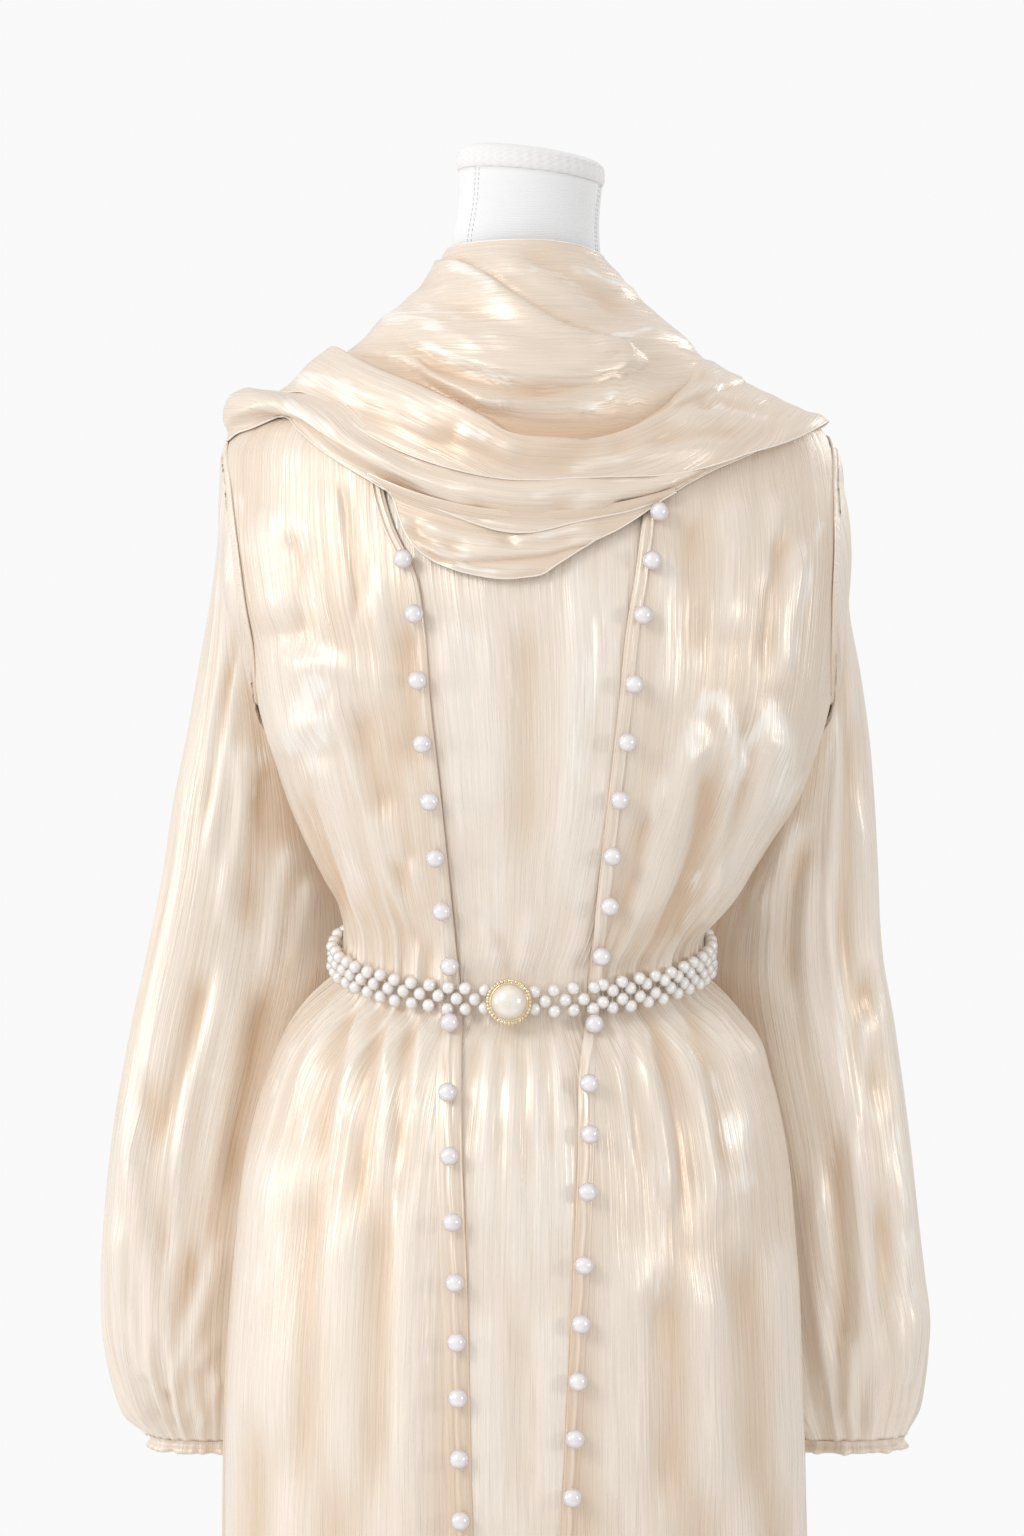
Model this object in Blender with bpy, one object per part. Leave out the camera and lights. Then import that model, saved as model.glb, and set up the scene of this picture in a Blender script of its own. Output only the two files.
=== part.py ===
"""Abaya set on a limbless dress form: open abaya with pearl plackets, slip dress, pearl belt and
wound scarf. Metres, +Z up, front towards -Y, the origin on the floor under the stand's base.

A bearing is an angle round the body, 0 at the front and 90 at +X. Every cloth surface is a function
of two parameters, and a wall is that surface and its copy moved inwards along the normals.
"""
import math

import bmesh
import bpy
import numpy as np
from mathutils import Vector

for thing in list(bpy.data.objects):
    bpy.data.objects.remove(thing, do_unlink=True)

# Driving sizes
WALL = 0.0015
SEAM_GAP = 0.0003
HEM = 0.030
NECKLINE = 1.446
WAIST = 0.991
WAIST_DROP = 0.029
WAIST_REACH = 0.10
ARMHOLE_TOP = 1.366
ARMHOLE_BOTTOM = 1.178
ARMHOLE_BEARING = 24.0
ARMHOLE_STEPS = 8
SEAM_BEARING = 0.12
PLACKET_WIDTH = 0.018
PLACKET_WALL = 0.0012
PEARL_RADIUS = 0.0069
PEARL_SINK = 0.0010
PEARL_PITCH = 0.0425
PLACKET_TOP_ROW = 3
SHOULDER_HEIGHTS = (NECKLINE, 1.426, 1.404, 1.384)
WAIST_HEIGHTS = (1.135, 1.092, 1.052, 1.024, WAIST + 0.016, WAIST - 0.016, 0.952)
SKIRT_HEIGHTS = (0.918, 0.855, 0.760, 0.620, 0.380, HEM)
FRONT_COLUMNS = 10
BACK_COLUMNS = 14
BELT_HALF_HEIGHT = 0.0125
BELT_INNER = 0.0035
BELT_WALL = 0.0014
BELT_BUMP = 0.0052
CLASP_SEAT = 0.0108
BELT_COLUMNS = 46
BELT_ROWS = 7
CLASP_BEARING = -3.9
SLIP_TOP = 1.345
SLIP_HEIGHTS = (SLIP_TOP, 1.280, 1.210, 1.135, 1.070, 1.024, WAIST + 0.016, WAIST - 0.016,
                0.952, 0.905, 0.780, 0.600, 0.300, HEM)
SLIP_FRONT_COLUMNS = 13
SLIP_BACK_COLUMNS = 10
STRAP_X = 0.094
STRAP_WIDTH = 0.014
STRAP_LAP = 0.010
STRAP_RISE = 0.050
STRAP_ROWS = 15
STRAP_SEAT = 0.0015
STRAP_DEPTH = 0.0082
BASE_RADIUS = 0.190
BASE_HEIGHT = 0.012
POLE_RADIUS = 0.016
FORM_BOTTOM = 0.780
NORMAL_STEP = 1e-4

CREAM = (0.890, 0.800, 0.680)
SCARF_CREAM = (0.900, 0.790, 0.660)
SLIP_CREAM = (0.880, 0.800, 0.690)
PEARL_WHITE = (0.900, 0.890, 0.900)
FORM_WHITE = (0.860, 0.860, 0.860)
GOLD = (0.850, 0.660, 0.360)
STAND_WHITE = (0.780, 0.780, 0.780)


def table(columns, rows):
    """Rows of numbers, as one array for each named column."""
    return dict(zip(columns.split(), np.array(rows, float).T))


# Sections of the worn abaya: height, half width, depth forward and back, middle in X and Y
BODY = table("height half_width forward back middle middle_y", [
    (1.446, 0.071, 0.066, 0.068, 0.000, 0.000),
    (1.432, 0.104, 0.075, 0.078, 0.000, 0.000),
    (1.415, 0.138, 0.083, 0.087, 0.000, -0.002),
    (1.398, 0.172, 0.089, 0.095, 0.000, -0.004),
    (1.382, 0.205, 0.095, 0.102, 0.000, -0.006),
    (1.366, 0.2225, 0.100, 0.108, 0.000, -0.008),
    (1.330, 0.2290, 0.109, 0.117, 0.002, -0.012),
    (1.285, 0.2300, 0.119, 0.124, 0.005, -0.016),
    (1.245, 0.2250, 0.124, 0.126, 0.007, -0.018),
    (1.210, 0.2180, 0.124, 0.124, 0.010, -0.018),
    (1.170, 0.2110, 0.121, 0.120, 0.011, -0.018),
    (1.127, 0.1980, 0.117, 0.115, 0.011, -0.016),
    (1.100, 0.1880, 0.114, 0.111, 0.010, -0.014),
    (1.073, 0.1730, 0.110, 0.107, 0.0065, -0.010),
    (1.046, 0.1570, 0.107, 0.102, 0.004, -0.006),
    (1.024, 0.1420, 0.107, 0.097, 0.001, -0.002),
    (1.008, 0.1335, 0.106, 0.094, -0.004, 0.000),
    (0.991, 0.1330, 0.106, 0.094, -0.005, 0.000),
    (0.974, 0.1335, 0.106, 0.094, -0.006, 0.000),
    (0.954, 0.1550, 0.119, 0.103, -0.007, 0.000),
    (0.930, 0.1750, 0.131, 0.112, -0.007, 0.000),
    (0.900, 0.1870, 0.141, 0.122, -0.008, 0.000),
    (0.850, 0.2000, 0.150, 0.130, -0.009, 0.000),
    (0.780, 0.2085, 0.157, 0.136, -0.010, 0.000),
    (0.690, 0.2150, 0.162, 0.140, -0.011, 0.000),
    (0.550, 0.2190, 0.165, 0.144, -0.010, 0.000),
    (0.300, 0.2230, 0.169, 0.150, -0.008, 0.000),
    (0.030, 0.2280, 0.174, 0.158, -0.006, 0.000)])

# How far the slip's surface lies inside the abaya's
SLIP = table("height inset", [
    (1.346, 0.0060),
    (1.250, 0.0080),
    (1.080, 0.0080),
    (1.021, 0.0049),
    (0.991, 0.0042),
    (0.956, 0.0054),
    (0.850, 0.0100),
    (0.030, 0.0120)])

# Where the two front edges run, from the neck down: X of each edge
OPENING = table("height left right", [
    (1.446, -0.052, 0.052),
    (1.415, -0.088, 0.078),
    (1.382, -0.102, 0.086),
    (1.330, -0.106, 0.085),
    (1.300, -0.098, 0.080),
    (1.262, -0.081, 0.075),
    (1.226, -0.0755, 0.069),
    (1.172, -0.0712, 0.0635),
    (1.104, -0.0630, 0.0552),
    (1.060, -0.0578, 0.0494),
    (1.011, -0.0520, 0.0440),
    (0.979, -0.0486, 0.0415),
    (0.948, -0.0486, 0.0368),
    (0.855, -0.0480, 0.0343),
    (0.762, -0.0444, 0.0305),
    (0.646, -0.0416, 0.0248),
    (0.500, -0.0380, 0.0180),
    (0.030, -0.0330, 0.0080)])

# Largest hand-placed folds: bearing and half width in degrees, height of the ridge, where it runs
FOLDS = table("bearing half_width rise top bottom", [
    (-74, 5, 0.0030, 1.330, 1.050),
    (-58, 6, 0.0028, 1.330, 1.010),
    (-44, 5, -0.0030, 1.300, 1.040),
    (40, 5, -0.0028, 1.300, 1.000),
    (52, 6, 0.0030, 1.280, 1.000),
    (68, 5, 0.0028, 1.250, 1.040),
    (27, 4, 0.0034, 1.050, 0.020),
    (14, 3, -0.0022, 0.930, 0.020),
    (-30, 5, 0.0030, 0.900, 0.020),
    (48, 7, 0.0042, 0.930, 0.020),
    (70, 6, -0.0030, 0.900, 0.020),
    (-52, 7, 0.0036, 0.900, 0.020),
    (-74, 6, -0.0030, 0.900, 0.020),
    (110, 8, 0.0040, 0.900, 0.020),
    (145, 8, 0.0046, 0.900, 0.020),
    (178, 8, 0.0040, 0.900, 0.020),
    (-146, 8, 0.0046, 0.900, 0.020),
    (-112, 8, 0.0040, 0.900, 0.020)])
WAIST_GATHERS = 26
WAIST_GATHER_DEPTH = 0.0011
WAIST_GATHER_REACH = 0.055
HEM_FOLDS = 15
HEM_FOLD_DEPTH = 0.0040

# Heights of the pearl buttons that show, down each front edge
PEARLS_LEFT = (1.274, 1.235, 1.188, 1.143, 1.102, 1.0615, 1.024, 0.9905,
               0.9370, 0.898, 0.853, 0.807, 0.765, 0.7235, 0.6845, 0.642, 0.599)
PEARLS_RIGHT = (1.307, 1.273, 1.234, 1.185, 1.144, 1.103, 1.063, 1.027, 0.9945,
                0.9400, 0.903, 0.868, 0.828, 0.777, 0.736, 0.696, 0.656, 0.615)

# Sleeve rings past the armhole: the outer and inner ends of each, and its half depth
SLEEVE_COLUMNS = "outer_x outer_y outer_z inner_x inner_y inner_z half_depth"
SLEEVE_LEFT = table(SLEEVE_COLUMNS, [
    (0.2265, -0.010, 1.360, 0.2040, -0.014, 1.170, 0.050),
    (0.2285, -0.006, 1.332, 0.2020, -0.004, 1.158, 0.051),
    (0.2320, 0.002, 1.285, 0.1960, 0.018, 1.143, 0.051),
    (0.2385, 0.012, 1.240, 0.1860, 0.042, 1.126, 0.049),
    (0.2470, 0.024, 1.195, 0.1720, 0.066, 1.106, 0.046),
    (0.2555, 0.034, 1.150, 0.1560, 0.086, 1.082, 0.044),
    (0.2660, 0.042, 1.100, 0.1420, 0.100, 1.052, 0.043),
    (0.2740, 0.050, 1.050, 0.1320, 0.108, 1.016, 0.043),
    (0.2878, 0.058, 0.985, 0.1280, 0.114, 0.965, 0.044),
    (0.3005, 0.064, 0.930, 0.1400, 0.120, 0.910, 0.046),
    (0.3143, 0.068, 0.850, 0.1700, 0.124, 0.830, 0.050),
    (0.3220, 0.072, 0.765, 0.1920, 0.126, 0.750, 0.053),
    (0.3220, 0.076, 0.712, 0.1960, 0.124, 0.700, 0.052),
    (0.3165, 0.078, 0.678, 0.1980, 0.118, 0.668, 0.048),
    (0.3050, 0.080, 0.645, 0.2020, 0.112, 0.640, 0.040),
    (0.2890, 0.084, 0.618, 0.2080, 0.106, 0.615, 0.029)])
SLEEVE_RIGHT = table(SLEEVE_COLUMNS, [
    (0.2310, -0.010, 1.360, 0.2265, -0.014, 1.170, 0.050),
    (0.2330, -0.006, 1.332, 0.2240, -0.004, 1.158, 0.051),
    (0.2360, 0.002, 1.285, 0.2180, 0.018, 1.143, 0.051),
    (0.2400, 0.012, 1.240, 0.2080, 0.042, 1.126, 0.049),
    (0.2485, 0.024, 1.195, 0.1920, 0.066, 1.106, 0.046),
    (0.2547, 0.034, 1.150, 0.1750, 0.086, 1.082, 0.044),
    (0.2585, 0.042, 1.100, 0.1560, 0.100, 1.052, 0.043),
    (0.2628, 0.050, 1.050, 0.1380, 0.108, 1.016, 0.043),
    (0.2675, 0.058, 0.985, 0.1250, 0.114, 0.965, 0.044),
    (0.2770, 0.064, 0.930, 0.1320, 0.120, 0.910, 0.046),
    (0.2875, 0.068, 0.850, 0.1600, 0.124, 0.830, 0.050),
    (0.2968, 0.072, 0.765, 0.1760, 0.126, 0.750, 0.053),
    (0.3040, 0.076, 0.712, 0.1820, 0.124, 0.700, 0.052),
    (0.3030, 0.078, 0.682, 0.1860, 0.118, 0.672, 0.048),
    (0.2960, 0.080, 0.648, 0.1920, 0.112, 0.643, 0.040),
    (0.2870, 0.084, 0.618, 0.2000, 0.106, 0.615, 0.029)])
SLEEVE_ROWS = 15
SLEEVE_FOLDS = 7
SLEEVE_FOLD_DEPTH = 0.0030
SLEEVE_CLEAR = 0.0060
SLEEVE_CLEAR_TOP = 0.0020
SLEEVE_CLEAR_ROWS = 2.0
CUFF_COLUMNS = 32
CUFF_WAVES = 10
CUFF_WAVE = 0.0014
CUFF_PROFILE = table("grow drop wave", [
    (-0.0010, 0.0004, 0.3),
    (-0.0035, 0.0050, 0.3),
    (-0.0035, 0.0100, 0.4),
    (0.0010, 0.0180, 1.6)])
CLASP_SIDES = 18
CLASP_PROFILE = table("radius forward", [
    (0.0150, 0.0000),
    (0.0170, 0.0020),
    (0.0170, 0.0045),
    (0.0135, 0.0050),
    (0.0120, 0.0105),
    (0.0075, 0.0150),
    (0.0020, 0.0166)])

# Contours of the wound scarf from its top edge at the neck down to the hem of its under layer
SCARF = table("place front_y front_z right_x right_z left_x left_z back_y back_z", [
    (0.0, -0.066, 1.509, 0.0560, 1.503, 0.0610, 1.509, 0.066, 1.512),
    (1.0, -0.094, 1.450, 0.0860, 1.469, 0.0900, 1.472, 0.096, 1.466),
    (2.0, -0.124, 1.378, 0.1420, 1.422, 0.1380, 1.431, 0.124, 1.404),
    (3.0, -0.142, 1.330, 0.1950, 1.3930, 0.1880, 1.401, 0.136, 1.360),
    (4.0, -0.150, 1.290, 0.2260, 1.3795, 0.2245, 1.382, 0.141, 1.322),
    (5.0, -0.149, 1.257, 0.2280, 1.366, 0.2270, 1.366, 0.142, 1.300)])

# The scarf's stretches: first and last place in front, how much later each comes on the left and
# on the right, and the lift of the top edge, the bottom edge and the round between them
STRETCHES = table("start end start_left end_left start_right end_right top bottom round rows", [
    (0.0, 2.55, 0.00, -0.05, 0.00, -0.70, 0.000, 0.000, 0.005, 6),
    (2.30, 3.1, -0.05, -0.20, -0.70, 0.00, 0.008, 0.008, 0.005, 5),
    (2.75, 4.0, 0.00, 0.00, 0.00, 0.00, 0.000, 0.005, 0.002, 5)])
STRETCH_NAMES = ("scarf_neck", "scarf_middle", "scarf_lower")
SCARF_FRONT_REACH = 72
SCARF_FRONT_STEP = 8
SCARF_BACK_COLUMNS = 10

# The hem of the scarf's under layer, a crescent that is fuller on the left
UNDER_TOP = 3.5
UNDER_HEM = table("bearing place", [
    (-32, 3.75),
    (-24, 4.52),
    (-16, 4.95),
    (-8, 5.00),
    (0, 4.93),
    (8, 4.50),
    (16, 4.10),
    (24, 3.88)])
UNDER_LIFTS = (0.0014, 0.0016, 0.001)
UNDER_ROWS = 4
RIGHT_LIFT = 0.35
LEFT_LIFT = 1.20

# Sections of the dress form, from its flat underside to the top of its neck
FORM = table("height half_width forward back middle middle_y", [
    (0.780, 0.150, 0.092, 0.098, -0.006, 0.000),
    (0.800, 0.160, 0.102, 0.108, -0.006, 0.000),
    (0.880, 0.158, 0.102, 0.106, -0.006, 0.000),
    (0.940, 0.134, 0.092, 0.090, -0.006, 0.000),
    (0.985, 0.116, 0.084, 0.078, -0.005, 0.000),
    (1.050, 0.122, 0.088, 0.080, 0.000, 0.000),
    (1.130, 0.138, 0.098, 0.086, 0.004, 0.000),
    (1.210, 0.152, 0.112, 0.092, 0.004, -0.004),
    (1.280, 0.164, 0.106, 0.096, 0.003, -0.006),
    (1.340, 0.180, 0.092, 0.096, 0.001, -0.006),
    (1.370, 0.189, 0.080, 0.088, 0.000, -0.006),
    (1.385, 0.186, 0.076, 0.083, 0.000, -0.005),
    (1.3957, 0.172, 0.073, 0.080, 0.000, -0.004),
    (1.4127, 0.138, 0.069, 0.074, 0.000, -0.002),
    (1.426, 0.099, 0.063, 0.066, 0.000, 0.000),
    (1.438, 0.070, 0.057, 0.060, 0.000, 0.000),
    (1.446, 0.063, 0.056, 0.057, 0.000, 0.000),
    (1.460, 0.058, 0.055, 0.056, 0.000, 0.000),
    (1.500, 0.0545, 0.053, 0.053, 0.000, 0.000),
    (1.5625, 0.0540, 0.052, 0.052, 0.001, 0.000)])
SHOULDER_ROWS = slice(10, 17)
FORM_TURN = 18.0
NECK_TOP = 1.5625
NECK_TILT = 0.110
CAP_PROFILE = table("grow rise", [
    (0.0010, 0.0006),
    (0.0016, 0.0036),
    (0.0016, 0.0142),
    (-0.002, 0.0192),
    (-0.016, 0.0222)])
BASE_PROFILE = table("radius height", [
    (BASE_RADIUS - 0.003, 0.0),
    (BASE_RADIUS, 0.003),
    (BASE_RADIUS, BASE_HEIGHT - 0.004),
    (BASE_RADIUS - 0.004, BASE_HEIGHT)])
BASE_SIDES = 24
POLE_SIDES = 12


def eased(rows, column, at, key="height"):
    """A column's value on the smooth curve through the table's rows, by cubic Hermite steps."""
    order = np.argsort(rows[key])
    knots = rows[key][order]
    values = rows[column][order]
    slopes = np.gradient(values, knots)
    at = np.clip(at, knots[0], knots[-1])
    low = np.clip(np.searchsorted(knots, at) - 1, 0, len(knots) - 2)
    step = knots[low + 1] - knots[low]
    t = (at - knots[low]) / step
    rest = 1 - t
    return ((1 + 2 * t) * rest ** 2 * values[low] + t * t * (3 - 2 * t) * values[low + 1]
            + step * t * rest * (rest * slopes[low] - t * slopes[low + 1]))


def bell(distance, reach):
    """A soft bump: 1 at no distance, fading over the reach."""
    return np.exp(-(distance / reach) ** 2)


def oval(rows, bearing, height, lower_front=True):
    """A point on an oval section: its depths differ forward and back, and the waist dips in front."""
    turn = np.radians(bearing)
    ahead = np.cos(turn)
    deep = np.where(ahead > 0, eased(rows, "forward", height), eased(rows, "back", height))
    x = eased(rows, "middle", height) + eased(rows, "half_width", height) * np.sin(turn)
    y = eased(rows, "middle_y", height) - deep * ahead
    z = height - lower_front * WAIST_DROP * ahead * bell(height - WAIST, WAIST_REACH)
    return np.stack([x, y, z], axis=-1)


def outward(bearing):
    """The level direction of a bearing."""
    turn = np.radians(bearing)
    return np.stack([np.sin(turn), -np.cos(turn), np.zeros_like(turn)], axis=-1)


def fold_rise(bearing, height):
    """How far the abaya's cloth stands out: gathers at the belt, hem folds and the placed folds."""
    belt = bell(height - WAIST, WAIST_GATHER_REACH)
    rise = WAIST_GATHER_DEPTH * belt * np.cos(np.radians(WAIST_GATHERS * bearing))
    lower = np.clip((WAIST - 0.03 - height) / 0.6, 0, 1)
    rise = rise + HEM_FOLD_DEPTH * lower * np.cos(np.radians(HEM_FOLDS * bearing))
    for centre, half, depth, top, bottom in zip(*FOLDS.values()):
        away = (bearing - centre + 180) % 360 - 180
        along = np.clip((top - height) / 0.08, 0, 1) * np.clip((height - bottom) / 0.08, 0, 1)
        rise = rise + depth * bell(away, half) * along * (1 - 0.8 * belt)
    return rise


def abaya(bearing, height):
    """The abaya's outer surface at a bearing and a height."""
    bearing, height = np.broadcast_arrays(bearing, height)
    return oval(BODY, bearing, height) + fold_rise(bearing, height)[..., None] * outward(bearing)


def slip(bearing, height):
    """The slip's outer surface, inside the abaya's, with soft folds of its own."""
    bearing, height = np.broadcast_arrays(bearing, height)
    free = 1 - bell(height - WAIST, WAIST_REACH)
    wave = 0.0012 * free * np.cos(np.radians(17 * bearing + 40))
    inset = eased(SLIP, "inset", height)
    return oval(BODY, bearing, height) + (wave - inset)[..., None] * outward(bearing)


def form(bearing, height):
    """The dress form's surface."""
    bearing, height = np.broadcast_arrays(bearing, height)
    return oval(FORM, bearing, height, lower_front=False)


def contour(bearing, place):
    """The scarf's middle surface: an oval contour that sags in front and rests on the shoulders."""
    bearing, place = np.broadcast_arrays(bearing, place)
    turn = np.radians(bearing)
    ahead = np.cos(turn)
    side = np.sin(turn)
    wide = np.where(side > 0, eased(SCARF, "right_x", place, "place"),
                    eased(SCARF, "left_x", place, "place"))
    side_z = np.where(side > 0, eased(SCARF, "right_z", place, "place"),
                      eased(SCARF, "left_z", place, "place"))
    deep = np.where(ahead > 0, -eased(SCARF, "front_y", place, "place"),
                    eased(SCARF, "back_y", place, "place"))
    end_z = np.where(ahead > 0, eased(SCARF, "front_z", place, "place"),
                     eased(SCARF, "back_z", place, "place"))
    z = end_z * ahead ** 2 + side_z * side ** 2
    return np.stack([wide * side, -deep * ahead, z], axis=-1)


def normals(surface, u, v):
    """Outward unit normals of a surface, from small steps along its two parameters."""
    scale = 100.0
    across = surface(u + NORMAL_STEP * scale, v) - surface(u - NORMAL_STEP * scale, v)
    along = surface(u, v + NORMAL_STEP) - surface(u, v - NORMAL_STEP)
    normal = np.cross(across, along)
    return normal / np.linalg.norm(normal, axis=-1, keepdims=True)


def finish_material(name, colour, roughness, metallic=0.0):
    """A Principled material with the part's colour, roughness and metal."""
    material = bpy.data.materials.new(name)
    material.use_nodes = True
    shader = material.node_tree.nodes["Principled BSDF"]
    shader.inputs["Base Color"].default_value = (*colour, 1)
    shader.inputs["Roughness"].default_value = roughness
    shader.inputs["Metallic"].default_value = metallic
    return material


def solid(name, points, faces, colour, roughness=0.4, metallic=0.0):
    """One closed body with its faces pointing out."""
    mesh = bpy.data.meshes.new(name)
    mesh.from_pydata(np.asarray(points).reshape(-1, 3).tolist(), [], faces)
    shape = bmesh.new()
    shape.from_mesh(mesh)
    bmesh.ops.recalc_face_normals(shape, faces=shape.faces)
    shape.to_mesh(mesh)
    shape.free()
    mesh.shade_smooth()
    mesh.materials.append(finish_material(name, colour, roughness, metallic))
    thing = bpy.data.objects.new(name, mesh)
    bpy.context.scene.collection.objects.link(thing)
    return thing


def strip_faces(first, second, closed):
    """Quads between two lists of point numbers."""
    count = len(first) if closed else len(first) - 1
    size = len(first)
    return [(int(first[k]), int(first[(k + 1) % size]), int(second[(k + 1) % size]), int(second[k]))
            for k in range(count)]


def wall(name, outer, inner, colour, closed=False, roughness=0.35):
    """The solid between two grids of points; a closed one is a tube, open at both ends."""
    rows, columns = outer.shape[:2]
    number = np.arange(rows * columns).reshape(rows, columns)
    behind = np.arange(inner.shape[0] * columns).reshape(-1, columns) + rows * columns
    faces = []
    for grid in (number, behind):
        for row in range(len(grid) - 1):
            faces += strip_faces(grid[row], grid[row + 1], closed)
    faces += strip_faces(number[0], behind[0], closed)
    faces += strip_faces(number[-1], behind[-1], closed)
    if not closed:
        faces += strip_faces(number[:, 0], behind[:, 0], False)
        faces += strip_faces(number[:, -1], behind[:, -1], False)
    points = np.concatenate([outer.reshape(-1, 3), inner.reshape(-1, 3)])
    return solid(name, points, faces, colour, roughness)


def turned(name, rings, colour, roughness=0.5, metallic=0.0):
    """A closed body through rings of points, with flat ends."""
    rows, columns = rings.shape[:2]
    number = np.arange(rows * columns).reshape(rows, columns)
    faces = [tuple(number[0].tolist()), tuple(number[-1].tolist())]
    for row in range(rows - 1):
        faces += strip_faces(number[row], number[row + 1], True)
    return solid(name, rings, faces, colour, roughness, metallic)


def cloth(name, surface, bearing, height, colour, lift=0.0, thickness=WALL, closed=False):
    """A wall on a surface: its outer face lifted off it, its inner face one thickness deeper."""
    normal = normals(surface, bearing, height)
    points = surface(bearing, height)
    return wall(name, points + lift * normal, points + (lift - thickness) * normal, colour, closed)


def grid_between(start, end, heights, columns):
    """Bearings spread evenly between two edges on each row, with their heights."""
    share = np.linspace(0, 1, columns)
    bearing = start[:, None] + (end - start)[:, None] * share
    return bearing, np.broadcast_to(heights[:, None], bearing.shape)


def armhole_heights():
    """Heights down the armhole, even round its oval."""
    middle = (ARMHOLE_TOP + ARMHOLE_BOTTOM) / 2
    half = (ARMHOLE_TOP - ARMHOLE_BOTTOM) / 2
    return middle + half * np.cos(np.linspace(0, math.pi, ARMHOLE_STEPS + 1))


def armhole_cut(height):
    """How many degrees the armhole takes off a panel at a height."""
    middle = (ARMHOLE_TOP + ARMHOLE_BOTTOM) / 2
    half = (ARMHOLE_TOP - ARMHOLE_BOTTOM) / 2
    return ARMHOLE_BEARING * np.sqrt(np.clip(1 - ((height - middle) / half) ** 2, 0, 1))


def panel_heights():
    """The abaya's rows: the shoulder, the armhole, the waist and the skirt."""
    return np.concatenate([SHOULDER_HEIGHTS, armhole_heights(), WAIST_HEIGHTS, SKIRT_HEIGHTS])


def edge_bearing(height, side):
    """The bearing of a front edge, found from its X on the section."""
    column = "right" if side > 0 else "left"
    across = eased(OPENING, column, height) - eased(BODY, "middle", height)
    return np.degrees(np.arcsin(np.clip(across / eased(BODY, "half_width", height), -0.98, 0.98)))


def build_form():
    """The padded form with its neck, the knitted neck cap, and the stand under them."""
    bearing, height = np.meshgrid(np.arange(0, 360, FORM_TURN), FORM["height"])
    body = form(bearing, height)
    body[-1, :, 2] -= NECK_TILT * body[-1, :, 0]
    turned("form_body", body, FORM_WHITE, 0.8)
    turn, place = np.meshgrid(np.arange(0, 360, FORM_TURN), np.arange(len(CAP_PROFILE["rise"])))
    cap = form(turn, np.full(turn.shape, NECK_TOP))
    cap = cap + CAP_PROFILE["grow"][place][..., None] * outward(turn)
    cap[..., 2] += CAP_PROFILE["rise"][place] - NECK_TILT * cap[..., 0]
    turned("form_neck_cap", cap, FORM_WHITE, 0.9)
    turned("stand_base", turned_rings(BASE_PROFILE, BASE_SIDES), STAND_WHITE, 0.4)
    pole = table("radius height", [
        (POLE_RADIUS, BASE_HEIGHT + SEAM_GAP),
        (POLE_RADIUS, FORM_BOTTOM - SEAM_GAP)])
    turned("stand_pole", turned_rings(pole, POLE_SIDES), STAND_WHITE, 0.3)


def turned_rings(profile, count):
    """Rings of points of a round profile about the Z axis."""
    turn, place = np.meshgrid(np.linspace(0, 2 * math.pi, count, endpoint=False),
                              np.arange(len(profile["radius"])))
    radius = profile["radius"][place]
    return np.stack([radius * np.cos(turn), radius * np.sin(turn), profile["height"][place]], axis=-1)


def build_slip():
    """The slip's front and back, closed at the sides and open at the top and the hem."""
    heights = np.array(SLIP_HEIGHTS)
    side = np.full(len(heights), 90 - SEAM_BEARING)
    front = grid_between(-side, side, heights, SLIP_FRONT_COLUMNS)
    back = grid_between(180 - side, 180 + side, heights, SLIP_BACK_COLUMNS)
    cloth("slip_front", slip, *front, SLIP_CREAM)
    cloth("slip_back", slip, *back, SLIP_CREAM)


def build_strap(name, side):
    """A shoulder strap: up from the slip's top edge, over the form's shoulder and down the back."""
    across = np.array([STRAP_X - STRAP_WIDTH / 2, STRAP_X + STRAP_WIDTH / 2])
    share = np.linspace(0, 1, STRAP_ROWS)[:, None]
    order = np.argsort(FORM["half_width"][SHOULDER_ROWS])
    ridge = np.interp(across, FORM["half_width"][SHOULDER_ROWS][order],
                      FORM["height"][SHOULDER_ROWS][order])
    low = SLIP_TOP - STRAP_LAP
    height = low + (ridge - low) * np.sin(math.pi * share)
    on_back = share > 0.5

    def bearing_at(rows):
        """Bearings that keep the strap's X on a table's sections."""
        turn = np.degrees(np.arcsin(np.clip(across / eased(rows, "half_width", height), 0, 1)))
        return side * np.where(on_back, 180 - turn, turn)

    blend = np.clip((height - low) / STRAP_RISE, 0, 1)
    blend = (blend * blend * (3 - 2 * blend))[..., None]

    def layer(lift):
        """The strap's points at a lift off the form, meeting the slip's inner face at its ends."""
        bearing = bearing_at(FORM)
        on_form = form(bearing, height) + lift * normals(form, bearing, height)
        bearing = bearing_at(BODY)
        under_slip = slip(bearing, height) + (lift - STRAP_DEPTH) * normals(slip, bearing, height)
        return under_slip * (1 - blend) + on_form * blend

    wall(name, layer(STRAP_SEAT + WALL), layer(STRAP_SEAT), SLIP_CREAM)


def front_grid(side):
    """A front's bearings and heights: three columns over the placket's width, then on to the side."""
    heights = panel_heights()
    edge = edge_bearing(heights, side)
    seam = side * (90 - SEAM_BEARING - armhole_cut(heights))
    reach = np.linalg.norm(abaya(edge + side, heights) - abaya(edge, heights), axis=-1)
    band = side * PLACKET_WIDTH / reach
    near = edge[:, None] + band[:, None] * np.array([0.0, 0.5])
    far = grid_between(edge + band, seam, heights, FRONT_COLUMNS)[0]
    bearing = np.concatenate([near, far], axis=1)
    return bearing, np.broadcast_to(heights[:, None], bearing.shape)


def build_panels():
    """The abaya's two fronts and its back, shoulder to hem, with the armholes cut out."""
    for name, side in (("abaya_front_left", -1), ("abaya_front_right", 1)):
        cloth(name, abaya, *front_grid(side), CREAM)
    heights = panel_heights()
    side = 90 - SEAM_BEARING - armhole_cut(heights)
    cloth("abaya_back", abaya, *grid_between(180 - side, 180 + side, heights, BACK_COLUMNS), CREAM)


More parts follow.
